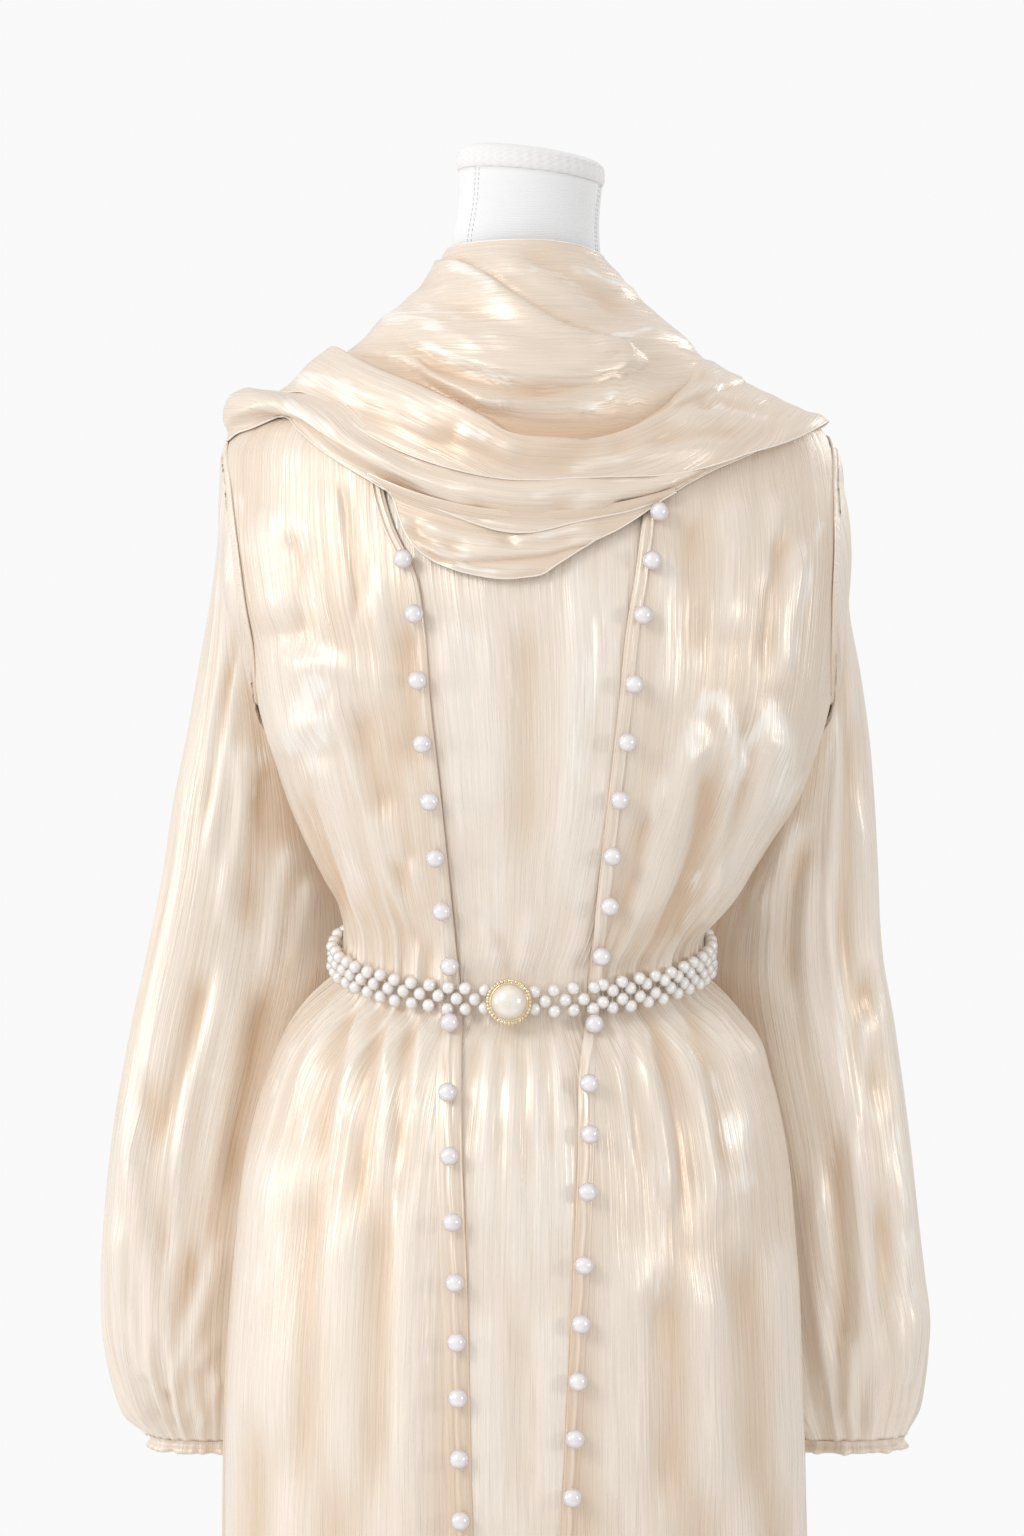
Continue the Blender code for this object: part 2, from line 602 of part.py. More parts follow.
def pearl_row(shown):
    """Heights of all the pearls on one edge: those that show, then an even run to the hem."""
    below = np.arange(shown[-1] - PEARL_PITCH, HEM + PEARL_PITCH / 2, -PEARL_PITCH)
    return np.concatenate([shown, below])


def build_placket(name, side, pearls):
    """A band on the front edge, made from the panel's points moved out, with its pearls joined."""
    bearing, height = (values[PLACKET_TOP_ROW:, :3] for values in front_grid(side))
    lift = SEAM_GAP + PLACKET_WALL
    band = cloth(name, abaya, bearing, height, CREAM, lift, PLACKET_WALL)
    normal = normals(abaya, bearing, height)[::-1, 1]
    points = (abaya(bearing, height)[::-1, 1] + (PEARL_RADIUS + lift - PEARL_SINK) * normal)
    for level in pearl_row(pearls):
        centre, facing = ([np.interp(level, points[:, 2], values[:, axis]) for axis in range(3)]
                          for values in (points, normal))
        join_pearl(band, Vector(centre), Vector(facing))
    return band


def join_pearl(band, centre, facing):
    """One pearl button, a pole towards its band, united with it."""
    pearl = bpy.data.meshes.new("pearl")
    shape = bmesh.new()
    bmesh.ops.create_uvsphere(shape, u_segments=6, v_segments=4, radius=PEARL_RADIUS)
    turn = facing.to_track_quat("Z", "Y").to_matrix()
    bmesh.ops.rotate(shape, verts=shape.verts, matrix=turn)
    bmesh.ops.translate(shape, verts=shape.verts, vec=centre)
    shape.to_mesh(pearl)
    shape.free()
    ball = bpy.data.objects.new("pearl", pearl)
    ball.hide_render = True
    ball.display_type = "WIRE"
    bpy.context.scene.collection.objects.link(ball)
    union = band.modifiers.new("pearl", "BOOLEAN")
    union.operation = "UNION"
    union.object = ball


def sleeve_table(side):
    """The side's table of sleeve rings."""
    return SLEEVE_RIGHT if side > 0 else SLEEVE_LEFT


def sleeve_loop(side, bring_in):
    """The armhole's loop, moved in towards its middle: down the front edge and up the back one."""
    heights = armhole_heights()
    cut = armhole_cut(heights)
    down = abaya(side * (90 - SEAM_BEARING - cut), heights)
    up = abaya(side * (90 + SEAM_BEARING + cut), heights)[-2:0:-1]
    loop = np.concatenate([down, up])
    inwards = loop.mean(axis=0) - loop
    inwards[:, 0] = 0
    return loop + bring_in * inwards / np.linalg.norm(inwards, axis=-1, keepdims=True)


def clear_of_body(points, gap):
    """Points moved out of the abaya's sections until they stand a gap off them."""
    height = points[..., 2]
    middle = np.stack([eased(BODY, "middle", height), eased(BODY, "middle_y", height)], axis=-1)
    away = points[..., :2] - middle
    deep = np.where(away[..., 1] < 0, eased(BODY, "forward", height), eased(BODY, "back", height))
    half = np.stack([eased(BODY, "half_width", height), deep], axis=-1)
    share = np.linalg.norm(away / (half + gap), axis=-1, keepdims=True)
    moved = points.copy()
    moved[..., :2] = middle + away * np.where(share < 1, 1 / share, 1)
    return moved


def sleeve_rings(side, rows, bring_in):
    """Sleeve rings by place down the arm, ovals between each ring's outer and inner ends."""
    data = sleeve_table(side)
    last = len(data["half_depth"]) - 1
    data = dict(data, row=np.arange(last + 1.0))
    place = np.linspace(0, last, rows)[:, None]
    turn = np.linspace(0, 2 * math.pi, 2 * ARMHOLE_STEPS, endpoint=False)[None, :]
    ends = {}
    for end in ("outer", "inner"):
        axes = [eased(data, end + "_" + axis, place, "row") for axis in "xyz"]
        ends[end] = np.concatenate(axes, axis=1)[:, None, :] * np.array([side, 1, 1])
    middle = (ends["outer"] + ends["inner"]) / 2
    reach = (ends["outer"] - ends["inner"]) / 2
    length = np.linalg.norm(reach, axis=-1, keepdims=True)
    line = reach / length
    across = np.array([0.0, 1.0, 0.0]) - line[..., 1:2] * line
    across = across / np.linalg.norm(across, axis=-1, keepdims=True)
    deep = eased(data, "half_depth", place, "row")[..., None]
    share = place / last
    wave = SLEEVE_FOLD_DEPTH * np.sin(math.pi * share) * np.cos(SLEEVE_FOLDS * turn + side)
    grow = (wave - bring_in)[..., None]
    cosine = np.cos(turn)[..., None]
    sine = np.sin(turn)[..., None]
    rings = middle + line * (length + grow) * cosine - across * (deep + grow) * sine
    settled = np.clip(place / SLEEVE_CLEAR_ROWS, 0, 1)
    near = SLEEVE_CLEAR_TOP + (SLEEVE_CLEAR - SLEEVE_CLEAR_TOP) * settled
    return clear_of_body(rings, (near + bring_in)[..., None])


def build_sleeve(name, side):
    """A full sleeve from the armhole to the wrist, its first ring inside the armhole's edge."""
    outer = sleeve_rings(side, SLEEVE_ROWS, 0.0)
    inner = sleeve_rings(side, SLEEVE_ROWS, WALL)
    outer = np.concatenate([sleeve_loop(side, SEAM_GAP * 2)[None], outer])
    inner = np.concatenate([sleeve_loop(side, SEAM_GAP * 2 + WALL)[None], inner])
    wall(name, outer, inner, CREAM, closed=True)


def build_cuff(name, side):
    """The elastic band round the wrist and the frill below it, as one waved ring."""
    data = sleeve_table(side)
    turn = np.linspace(0, 2 * math.pi, CUFF_COLUMNS, endpoint=False)[None, :]
    outer_end = np.array([data["outer_" + axis][-1] for axis in "xyz"]) * np.array([side, 1, 1])
    inner_end = np.array([data["inner_" + axis][-1] for axis in "xyz"]) * np.array([side, 1, 1])
    middle = (outer_end + inner_end) / 2
    reach = (outer_end - inner_end) / 2
    half_width = np.linalg.norm(reach)
    line = reach / half_width
    across = np.array([0.0, 1.0, 0.0]) - line[1] * line
    across = across / np.linalg.norm(across)
    wave = CUFF_WAVE * CUFF_PROFILE["wave"][:, None] * np.cos(CUFF_WAVES * turn)

    def rings(bring_in):
        """The profile's rings, brought in by the wall."""
        grow = (CUFF_PROFILE["grow"][:, None] + wave - bring_in)[..., None]
        return (middle + line * (half_width + grow) * np.cos(turn)[..., None]
                - across * (data["half_depth"][-1] + grow) * np.sin(turn)[..., None]
                - np.array([0, 0, 1]) * CUFF_PROFILE["drop"][:, None, None])

    wall(name, rings(0.0), rings(WALL), CREAM, closed=True)


def belt_surface(bearing, height):
    """The belt's inner line: the abaya's section without its folds."""
    bearing, height = np.broadcast_arrays(bearing, height)
    waist = np.full(bearing.shape, WAIST)
    ring = oval(BODY, bearing, waist)
    ring[..., 2] += height - WAIST
    return ring


def build_belt():
    """The netted belt with its large pearls raised in the outer points, and its round clasp."""
    half_pitch = 180.0 / BELT_COLUMNS
    columns = np.arange(0, 360, half_pitch)
    rows = np.linspace(-BELT_HALF_HEIGHT, BELT_HALF_HEIGHT, BELT_ROWS)
    bearing, up = np.meshgrid(columns, rows)
    number, level = np.meshgrid(np.arange(len(columns)), np.arange(BELT_ROWS))
    raised = ((number + level // 2) % 2 == 0) & (level % 2 == 1)
    lift = BELT_INNER + BELT_WALL + BELT_BUMP * raised
    ring = belt_surface(bearing, WAIST + up)
    outer = ring + lift[..., None] * outward(bearing)
    inner = (ring + BELT_INNER * outward(bearing))[[0, -1]]
    wall("belt_pearls", outer, inner, PEARL_WHITE, closed=True, roughness=0.2)


def build_clasp():
    """The round clasp: a beaded rim and a domed pearl, standing on the belt's front."""
    front = belt_surface(CLASP_BEARING, WAIST) + CLASP_SEAT * outward(np.array(CLASP_BEARING))
    profile = {"radius": CLASP_PROFILE["radius"], "height": CLASP_PROFILE["forward"]}
    rings = turned_rings(profile, CLASP_SIDES)
    placed = np.stack([rings[..., 0], -rings[..., 2], rings[..., 1]], axis=-1)
    turned("belt_clasp", placed + front, GOLD, 0.25, 0.6)


def build_scarf_stretch(name, bearings, places, lifts, closed):
    """One stretch of the wound scarf: a band of the contours, rounded out between its edges."""
    bearing = np.broadcast_to(bearings, places.shape)
    share = np.linspace(0, 1, len(places))[:, None]
    lift = lifts[0] + (lifts[1] - lifts[0]) * share + lifts[2] * np.sin(math.pi * share) ** 2
    side = np.sin(np.radians(bearing))
    lift = lift * (1 + (np.where(side > 0, RIGHT_LIFT, LEFT_LIFT) - 1) * side ** 2)
    normal = -normals(contour, bearing, places)
    outer = contour(bearing, places) + lift[..., None] * normal
    wall(name, outer, outer - WALL * normal, SCARF_CREAM, closed)


def build_scarf():
    """The scarf's stretches, from the neck down, each lapping the next, and its under layer."""
    front = np.arange(-SCARF_FRONT_REACH, SCARF_FRONT_REACH + 1, SCARF_FRONT_STEP)
    behind = np.linspace(SCARF_FRONT_REACH, 360 - SCARF_FRONT_REACH, SCARF_BACK_COLUMNS + 2)[1:-1]
    bearings = np.concatenate([front, behind])
    side = np.sin(np.radians(bearings))
    left = np.clip(-side, 0, 1) ** 2
    right = np.clip(side, 0, 1) ** 2
    for number, name in enumerate(STRETCH_NAMES):
        row = {column: values[number] for column, values in STRETCHES.items()}
        start = row["start"] + row["start_left"] * left + row["start_right"] * right
        end = row["end"] + row["end_left"] * left + row["end_right"] * right
        places = np.linspace(start, end, int(row["rows"]))
        lifts = (row["top"], row["bottom"], row["round"])
        build_scarf_stretch(name, bearings, places, lifts, True)
    hem = UNDER_HEM["place"]
    places = np.linspace(np.full(len(hem), UNDER_TOP), hem, UNDER_ROWS)
    build_scarf_stretch("scarf_under", UNDER_HEM["bearing"], places, UNDER_LIFTS, False)


build_form()
build_slip()
build_strap("slip_strap_left", -1)
build_strap("slip_strap_right", 1)
build_panels()
build_placket("placket_left", -1, PEARLS_LEFT)
build_placket("placket_right", 1, PEARLS_RIGHT)
for side_name, side in (("left", -1), ("right", 1)):
    build_sleeve("sleeve_" + side_name, side)
    build_cuff("cuff_" + side_name, side)
build_belt()
build_clasp()
build_scarf()
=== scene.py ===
# %% [markdown]
# # An abaya set on a dress form
#
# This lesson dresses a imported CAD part. The set is an open abaya with pearl buttons down both front
# edges, a slip dress under it, a netted pearl belt and a scarf wound round the neck. Every cloth is
# thin and soft, so each one is worked out as a surface of two parameters: an angle round the body
# and a height down it. Folds are added to that surface, and only then does it get its thickness.

# %% Load the frame
import math

import bpy
import numpy as np
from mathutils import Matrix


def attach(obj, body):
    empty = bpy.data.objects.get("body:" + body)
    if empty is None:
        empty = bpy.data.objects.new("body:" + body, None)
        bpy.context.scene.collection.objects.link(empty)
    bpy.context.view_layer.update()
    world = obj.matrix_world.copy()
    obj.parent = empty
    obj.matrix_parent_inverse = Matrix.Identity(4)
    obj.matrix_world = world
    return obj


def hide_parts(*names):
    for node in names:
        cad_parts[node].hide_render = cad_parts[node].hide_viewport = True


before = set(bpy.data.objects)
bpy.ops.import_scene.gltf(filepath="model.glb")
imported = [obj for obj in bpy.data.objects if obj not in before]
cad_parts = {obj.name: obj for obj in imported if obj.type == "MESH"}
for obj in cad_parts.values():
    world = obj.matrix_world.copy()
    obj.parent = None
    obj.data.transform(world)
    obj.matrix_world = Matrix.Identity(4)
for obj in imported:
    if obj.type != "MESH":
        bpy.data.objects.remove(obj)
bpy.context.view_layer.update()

# %% [markdown]
# The camera stands level in front of the form, at the height of the bust, three metres away, which
# is assumed. Its long lens hardly widens what is nearer. The skirt runs out of the bottom of the
# frame, because the upper part is what the picture is about.

# %% The camera
EYE = np.array([-0.0126, -3.0, 1.126])
FOCAL_PIXELS = 4050.0
LONG_SIDE = 1536.0
SENSOR = 36.0

camera_data = bpy.data.cameras.new("camera")
camera_data.sensor_width = SENSOR
camera_data.lens = FOCAL_PIXELS / LONG_SIDE * SENSOR
camera = bpy.data.objects.new("camera", camera_data)
camera.location = EYE
camera.rotation_euler = (math.pi / 2, 0, 0)
bpy.context.scene.collection.objects.link(camera)
bpy.context.scene.camera = camera
print("The lens is", round(camera_data.lens, 2), "mm")

# %% [markdown]
# Soft goods have no formula of their own, so their sections are given at a few heights, in short
# tables. A smooth curve runs through each column. Cubic steps are used rather than
# straight ones, because satin shows every corner of its form as a line in the light.

# %% Tables and smooth curves
def table(columns, rows):
    """Rows of numbers, in a list or in text, as one array for each named column."""
    if isinstance(rows, str):
        rows = [row.split() for row in rows.strip().splitlines()]
    return dict(zip(columns.split(), np.array(rows, float).T))


def eased(rows, column, at, key="height"):
    """A column's value on the smooth curve through the table's rows, by cubic Hermite steps."""
    order = np.argsort(rows[key])
    knots = rows[key][order]
    values = rows[column][order]
    slopes = np.gradient(values, knots)
    at = np.clip(at, knots[0], knots[-1])
    low = np.clip(np.searchsorted(knots, at) - 1, 0, len(knots) - 2)
    step = knots[low + 1] - knots[low]
    t = (at - knots[low]) / step
    rest = 1 - t
    return ((1 + 2 * t) * rest ** 2 * values[low] + t * t * (3 - 2 * t) * values[low + 1]
            + step * t * rest * (rest * slopes[low] - t * slopes[low + 1]))


def bell(distance, reach):
    """A soft bump: 1 at no distance, fading over the reach."""
    return np.exp(-(distance / reach) ** 2)


def soft_step(low, high, at):
    """0 below low, 1 above high, and s * s * (3 - 2 * s) between them."""
    share = np.clip((at - low) / (high - low), 0, 1)
    return share * share * (3 - 2 * share)


def unit(vectors):
    """The vectors at a length of 1."""
    return vectors / np.linalg.norm(vectors, axis=-1, keepdims=True)


def turned_to(bearing, centre):
    """Degrees from a centre bearing, between -180 and 180."""
    return (bearing - centre + 180) % 360 - 180

# %% [markdown]
# The abaya stands off the body all round. Its sections are ovals, wide at the shoulders, drawn in at
# the belt and full at the hip. The belt sags a little in front, so the section dips there too.

# %% The worn abaya's sections
WAIST = 0.991
WAIST_DROP = 0.029
WAIST_REACH = 0.10

BODY = table("height half_width forward back middle middle_y", """
1.446 .071 .066 .068 0 0
1.432 .104 .075 .078 0 0
1.415 .138 .083 .087 0 -.002
1.398 .172 .089 .095 0 -.004
1.389 .19 .092 .099 0 -.005
1.3815 .208 .095 .102 0 -.006
1.375 .218 .097 .105 0 -.007
1.366 .2232 .1 .108 0 -.008
1.33 .229 .109 .117 .002 -.012
1.285 .23 .119 .124 .005 -.016
1.245 .225 .124 .126 .007 -.018
1.21 .218 .124 .124 .01 -.018
1.17 .211 .121 .12 .011 -.018
1.127 .198 .117 .115 .011 -.016
1.1 .188 .114 .111 .01 -.014
1.073 .173 .11 .107 .0065 -.01
1.046 .157 .107 .102 .004 -.006
1.024 .142 .107 .097 .001 -.002
1.008 .1335 .106 .094 -.004 0
.991 .133 .106 .094 -.005 0
.974 .1335 .106 .094 -.006 0
.954 .155 .119 .103 -.007 0
.93 .175 .131 .112 -.007 0
.9 .187 .141 .122 -.008 0
.85 .2 .15 .13 -.009 0
.78 .2085 .157 .136 -.01 0
.69 .215 .162 .14 -.011 0
.55 .219 .165 .144 -.01 0
.3 .223 .169 .15 -.008 0
.03 .228 .174 .158 -.006 0""")


def oval(rows, bearing, height, lower_front=True):
    """A point on an oval section: its depths differ forward and back, and the waist dips in front."""
    turn = np.radians(bearing)
    ahead = np.cos(turn)
    deep = np.where(ahead > 0, eased(rows, "forward", height), eased(rows, "back", height))
    x = eased(rows, "middle", height) + eased(rows, "half_width", height) * np.sin(turn)
    y = eased(rows, "middle_y", height) - deep * ahead
    z = height - lower_front * WAIST_DROP * ahead * bell(height - WAIST, WAIST_REACH)
    return np.stack([x, y, z], axis=-1)


def outward(bearing):
    """The level direction of a bearing."""
    turn = np.radians(bearing)
    return np.stack([np.sin(turn), -np.cos(turn), np.zeros_like(turn)], axis=-1)


def off_section(points, gap):
    """The section's middle, the way out to each point, and its share of the section and the gap."""
    height = points[..., 2]
    middle = np.stack([eased(BODY, "middle", height), eased(BODY, "middle_y", height)], axis=-1)
    away = points[..., :2] - middle
    deep = np.where(away[..., 1] < 0, eased(BODY, "forward", height), eased(BODY, "back", height))
    half = np.stack([eased(BODY, "half_width", height), deep], axis=-1)
    return middle, away, np.linalg.norm(away / (half + gap[..., None]), axis=-1, keepdims=True)

print("The sections run from", BODY["height"].min(), "to", BODY["height"].max(), "m")

# %% [markdown]
# A fold is easiest to place where it is seen: on the upright plane through the middle of the form,
# as the camera sees it. Each fold is a short line on that plane, with a height and a width. The
# cloth rises by a soft bell round the line, and the bell may lean, so that one side is steep. That
# keeps the folds uneven and in their places, which a wave pattern can't do.

# %% Folds drawn as lines
def front_plane(points):
    """The points as the camera sees them on the plane Y = 0: eye + (point - eye) * 3 / (3 + Y)."""
    share = -EYE[1] / (points[..., 1] - EYE[1])
    x = EYE[0] + (points[..., 0] - EYE[0]) * share
    z = EYE[2] + (points[..., 2] - EYE[2]) * share
    return np.stack([x, z], axis=-1)


def drawn(text):
    """A table of drawn lines, one to a row: three values, a bar, then x and z in millimetres by turns."""
    rows = [row.split("|") for row in text.strip().splitlines()]
    return [(*map(float, values.split()), np.array(line.split(), float).reshape(-1, 2) / 1000)
            for values, line in rows]


def smooth_line(points, count=14):
    """Points spread evenly along the smooth curve through a few given points."""
    points = np.array(points, float)
    steps = np.linalg.norm(np.diff(points, axis=0), axis=-1)
    rows = {"along": np.concatenate([[0.0], np.cumsum(steps)])}
    at = np.linspace(0, rows["along"][-1], count)
    for axis in range(points.shape[1]):
        rows[axis] = points[:, axis]
    return np.stack([eased(rows, axis, at, "along") for axis in range(points.shape[1])], axis=-1)


def beside(seen, line, reach):
    """Which points lie near a drawn line, their distance from it (left is positive), and how far along."""
    line = smooth_line(line)
    near = np.abs(seen - line.mean(axis=0)).max(axis=-1) < np.ptp(line, axis=0).max() / 2 + reach
    at = seen[near][:, None, :]
    run = np.diff(line, axis=0)
    size = np.linalg.norm(run, axis=-1)
    share = np.clip(((at - line[:-1]) * run).sum(axis=-1) / size ** 2, 0, 1)
    gap = at - line[:-1] - share[..., None] * run
    distance = np.linalg.norm(gap, axis=-1)
    pick = (np.arange(len(at)), distance.argmin(axis=-1))
    before = np.concatenate([[0.0], np.cumsum(size)[:-1]])
    along = (before + share * size)[pick] / size.sum()
    turn = np.sign(run[:, 0] * gap[..., 1] - run[:, 1] * gap[..., 0])[pick]
    return near, distance[pick] * turn, along


def fold(seen, depth, reach, lean, line):
    """depth * exp(-(d / r)^2) round a line, d the distance to it and r wider on one side by the lean."""
    near, distance, along = beside(seen, line, 4 * reach)
    fade = soft_step(0, 0.22, along) * soft_step(0, 0.30, 1 - along) * (1 + 0.25 * np.sin(9 * along))
    wide = reach * (1 + lean * np.sign(distance))
    rise = np.zeros(seen.shape[:-1])
    rise[near] = depth * fade * np.exp(-(distance / wide) ** 2)
    return rise


def overlap(seen, height, reach, edge, line):
    """A step up at a line, on its left, that sinks again: height * step(d) * exp(-(d / reach)^2)."""
    near, distance, along = beside(seen, line, 3 * reach)
    fade = soft_step(0, 0.12, along) * soft_step(0, 0.12, 1 - along)
    sunk = np.exp(-(np.maximum(distance, 0) / reach) ** 2)
    stepped = soft_step(-edge, edge, distance) * sunk - 0.40 * bell(distance + edge, edge)
    rise = np.zeros(seen.shape[:-1])
    rise[near] = height * fade * stepped
    return rise


FOLD_SCALE = 1.35


def placed_folds(seen, folds):
    """The sum of all the folds in a table of depth, reach, lean and line."""
    return FOLD_SCALE * sum(fold(seen, *row) for row in folds)

# %% [markdown]
# Satin shines where it turns to the light, in patches of short bright strokes. These patches are
# painted into the colour as highlights, drawn as lines like the folds: how strong, how wide, and
# where. The cloth keeps them beside its rise, and its material breaks them up along the threads.

# %% Where the satin's highlights are painted
PAINTED_HIGHLIGHTS = {
    "front_left": drawn("""
1 .01 0 | -144 1200 -161 1184 -171 1165 -176 1145 -170 1126
.8 .007 0 | -156 1176 -153 1157 -161 1138 -167 1110
.45 .006 0 | -170 1110 -156 1086 -136 1058 -110 1025
.5 .007 0 | -216 1339 -212 1302 -207 1273
.45 .008 0 | -170 1325 -164 1280 -156 1221
.55 .003 0 | -126 1325 -119 1280 -121 1221
.6 .004 0 | -170 932 -182 906 -193 873
.55 .005 0 | -153 917 -164 880 -168 836
.55 .004 0 | -73 917 -73 836 -76 739 -78 643
.45 .01 0 | -187 865 -198 791 -205 695"""),
    "front_right": drawn("""
1 .007 0 | 139 1190 129 1172 122 1148 119 1123
.95 .006 0 | 139 1190 147 1170 153 1148 152 1123
1 .006 0 | 187 1175 174 1160 162 1141 153 1119 149 1098
.9 .007 0 | 174 1184 183 1165 189 1141 186 1113 177 1087
.75 .004 0 | 210 1280 203 1247 198 1221 195 1191
.7 .004 0 | 220 1317 211 1290 205 1258
.6 .004 0 | 208 1132 192 1102 174 1073 159 1049
.45 .012 0 | 103 1295 106 1243 100 1191
.5 .005 0 | 127 1058 119 1025 112 991
.6 .005 0 | 131 910 143 880 152 843
.85 .012 0 | 147 874 156 843 161 802
.45 .008 0 | 97 865 99 791 96 702"""),
    "slip_front": drawn("""
.85 .008 0 | 47 1224 44 1184 38 1143 33 1102
.45 .006 0 | -47 1250 -45 1191 -42 1132
.45 .006 0 | -16 1258 -13 1213 -11 1162
.5 .004 0 | -21 910 -20 873 -19 821
.5 .004 0 | 11 917 14 873 17 821"""),
    "sleeve_left": drawn("""
.7 .006 0 | -195 1147 -201 1120 -207 1093
.65 .005 0 | -258 873 -261 821 -264 776 -270 732
.55 .004 0 | -294 843 -291 806 -285 776
.45 .008 0 | -239 910 -233 887 -239 858
.5 .004 0 | -230 1280 -236 1221 -244 1162
.5 .005 0 | -264 732 -270 695 -273 665"""),
    "sleeve_right": drawn("""
.75 .004 0 | 229 1176 223 1132 220 1087
.6 .004 0 | 251 1184 250 1147 251 1102
.6 .005 0 | 195 1102 189 1073 184 1046
.8 .0026 0 | 228 984 231 902 224 821 220 776
.7 .0026 0 | 220 739 224 702 232 665
.7 .007 0 | 272 873 275 828 281 784
.7 .006 0 | 276 791 281 754 284 717
.5 .006 0 | 210 821 220 776 226 725"""),
    "scarf_neck": drawn("""
1 .0055 0 | -63 1498 -47 1493 -30 1483 -17 1473
.55 .005 0 | -88 1468 -66 1464 -44 1453
1.1 .0065 0 | -113 1456 -96 1459 -75 1454 -54 1446
.8 .004 0 | -87 1440 -66 1434 -44 1422 -21 1415 -1 1410
1.1 .0024 0 | 56 1446 76 1447 96 1452
1 .0022 0 | 36 1496 57 1487 78 1479
.9 .0024 0 | 60 1490 79 1479 91 1467
.9 .0035 0 | 36 1390 53 1397 70 1406
.6 .004 0 | -7 1496 23 1490 45 1479"""),
    "scarf_middle": drawn("""
1.1 .0065 0 | -176 1409 -159 1413 -141 1410 -124 1403
.6 .006 0 | -147 1402 -118 1396 -88 1388
.95 .005 0 | -57 1381 -42 1376 -27 1369
1 .0022 0 | 53 1375 75 1384 90 1395 100 1406
.55 .005 0 | 23 1347 53 1350 82 1356
.55 .004 0 | 127 1399 153 1391 186 1381"""),
    "scarf_lower": drawn("""
.9 .0055 0 | -186 1396 -170 1390 -152 1379 -136 1369
.7 .003 0 | -96 1360 -73 1352 -50 1345
.5 .005 0 | -7 1325 23 1327 60 1332
.5 .004 0 | 53 1339 90 1342 127 1350
.6 .003 0 | -44 1313 -21 1305 -2 1304"""),
    "scarf_under": drawn("""
.8 .003 0 | -61 1280 -42 1273 -19 1272
.7 .003 0 | -78 1295 -61 1286 -36 1283
.6 .0025 0 | 1 1295 23 1300 47 1304""")}


def painted_highlight_share(name, seen, facing):
    """How much painted highlight the cloth gets at its points as they are seen, from 0 to 1."""
    return facing * np.clip(sum(fold(seen, *row) for row in PAINTED_HIGHLIGHTS[name]), 0, 1)

# %% [markdown]
# Where cloth is drawn in, at the belt and at the cuffs, it gathers into many small pleats. Each is
# longest in its middle and fades away from the drawn line, and no two are alike. They are drawn
# from a seeded list, so that the same pleats come back every time.

# %% Gathers and slow ripples
def gathers(bearing, height, line, count, depth, above, below, seed):
    """Pleats round a drawn-in line: a sum of bells in bearing, each fading above and below the line."""
    draw = np.random.default_rng(seed)
    pitch = 360 / count
    centre = (np.arange(count) + draw.uniform(-0.38, 0.38, count)) * pitch
    wide = pitch * draw.uniform(0.20, 0.42, count)
    size = depth * draw.uniform(0.35, 1.25, count)
    tall = draw.uniform(0.45, 1.45, count)
    rise = np.zeros(np.broadcast(bearing, height).shape)
    reach = np.where(height > line, above, below)
    for middle, width, lift, long in zip(centre, wide, size, tall):
        rise += lift * bell(turned_to(bearing, middle), width) * bell(height - line, reach * long)
    return rise


def ripples(bearing, height, counts, depth, seed):
    """Slow unevenness: cosines of the bearing that drift with the height, each strong in places."""
    draw = np.random.default_rng(seed)
    rise = np.zeros(np.broadcast(bearing, height).shape)
    for count in counts:
        turn = np.radians(count * bearing) + draw.uniform(0, 6.28)
        drift = draw.uniform(2.0, 6.0) * height + draw.uniform(0, 6.28)
        strong = 0.5 + 0.5 * np.sin(draw.uniform(5, 11) * height + np.radians(2 * bearing) + drift)
        rise += depth / len(counts) ** 0.5 * strong * np.cos(turn + 0.9 * np.sin(drift))
    return rise

# %% [markdown]
# Every cloth is the same kind of mesh: a grid of points facing out, a second grid one thickness
# behind it, and a narrow rim that closes the two. Solidify could do this, but a grid of our own
# keeps the numbering, so the UV map can follow the threads: U counts metres across the warp and V
# metres along it. Each point keeps its rise, from which the material paints shade: peach in the
# folded-in hollows and paler on the ridges. Each point also keeps its share of painted highlight.

# %% Making a cloth
CLOTH = 0.0010
THIN_CLOTH = 0.0009
MAP_NAME = "cloth"
SHADE_RISE_NAME = "rise"
PAINTED_HIGHLIGHT_NAME = "painted_highlight"


def grid_normals(points, closed):
    """Unit normals of a grid: the cross product of its steps down and across."""
    if closed:
        across = np.roll(points, -1, axis=1) - np.roll(points, 1, axis=1)
    else:
        across = np.gradient(points, axis=1)
    normal = np.cross(np.gradient(points, axis=0), across)
    return normal / np.maximum(np.linalg.norm(normal, axis=-1, keepdims=True), 1e-12)


def grid_quads(number):
    """Quads of a grid of point numbers, seen from the front: down, across, up."""
    corners = (number[:-1, :-1], number[1:, :-1], number[1:, 1:], number[:-1, 1:])
    return np.stack(corners, axis=-1).reshape(-1, 4)


def wrapped(rows, columns):
    """Point numbers of a closed grid, with its first column repeated at the end."""
    number = np.arange(rows * columns).reshape(rows, columns)
    return np.hstack([number, number[:, :1]])


def repeated(faces, step, count):
    """The same faces many times over, each time with corner numbers one step higher."""
    return [[corner + step * number for corner in face] for number in range(count) for face in faces]


def rim_quads(first, second):
    """Quads between two rows of point numbers."""
    return np.stack([first[:-1], first[1:], second[1:], second[:-1]], axis=-1)


def put_mesh(name, points, faces, smooth=None, places=None):
    """An object from arrays: points, faces as corner numbers, and UV places for each corner."""
    mesh = bpy.data.meshes.new(name)
    mesh.from_pydata(np.asarray(points).reshape(-1, 3).tolist(), [], [list(face) for face in faces])
    flags = np.ones(len(faces), bool) if smooth is None else smooth
    mesh.polygons.foreach_set("use_smooth", flags)
    if places is not None:
        layer = mesh.uv_layers.new(name=MAP_NAME)
        layer.data.foreach_set("uv", places.astype(np.float32).ravel())
    piece = bpy.data.objects.new(name, mesh)
    bpy.context.scene.collection.objects.link(piece)
    return piece


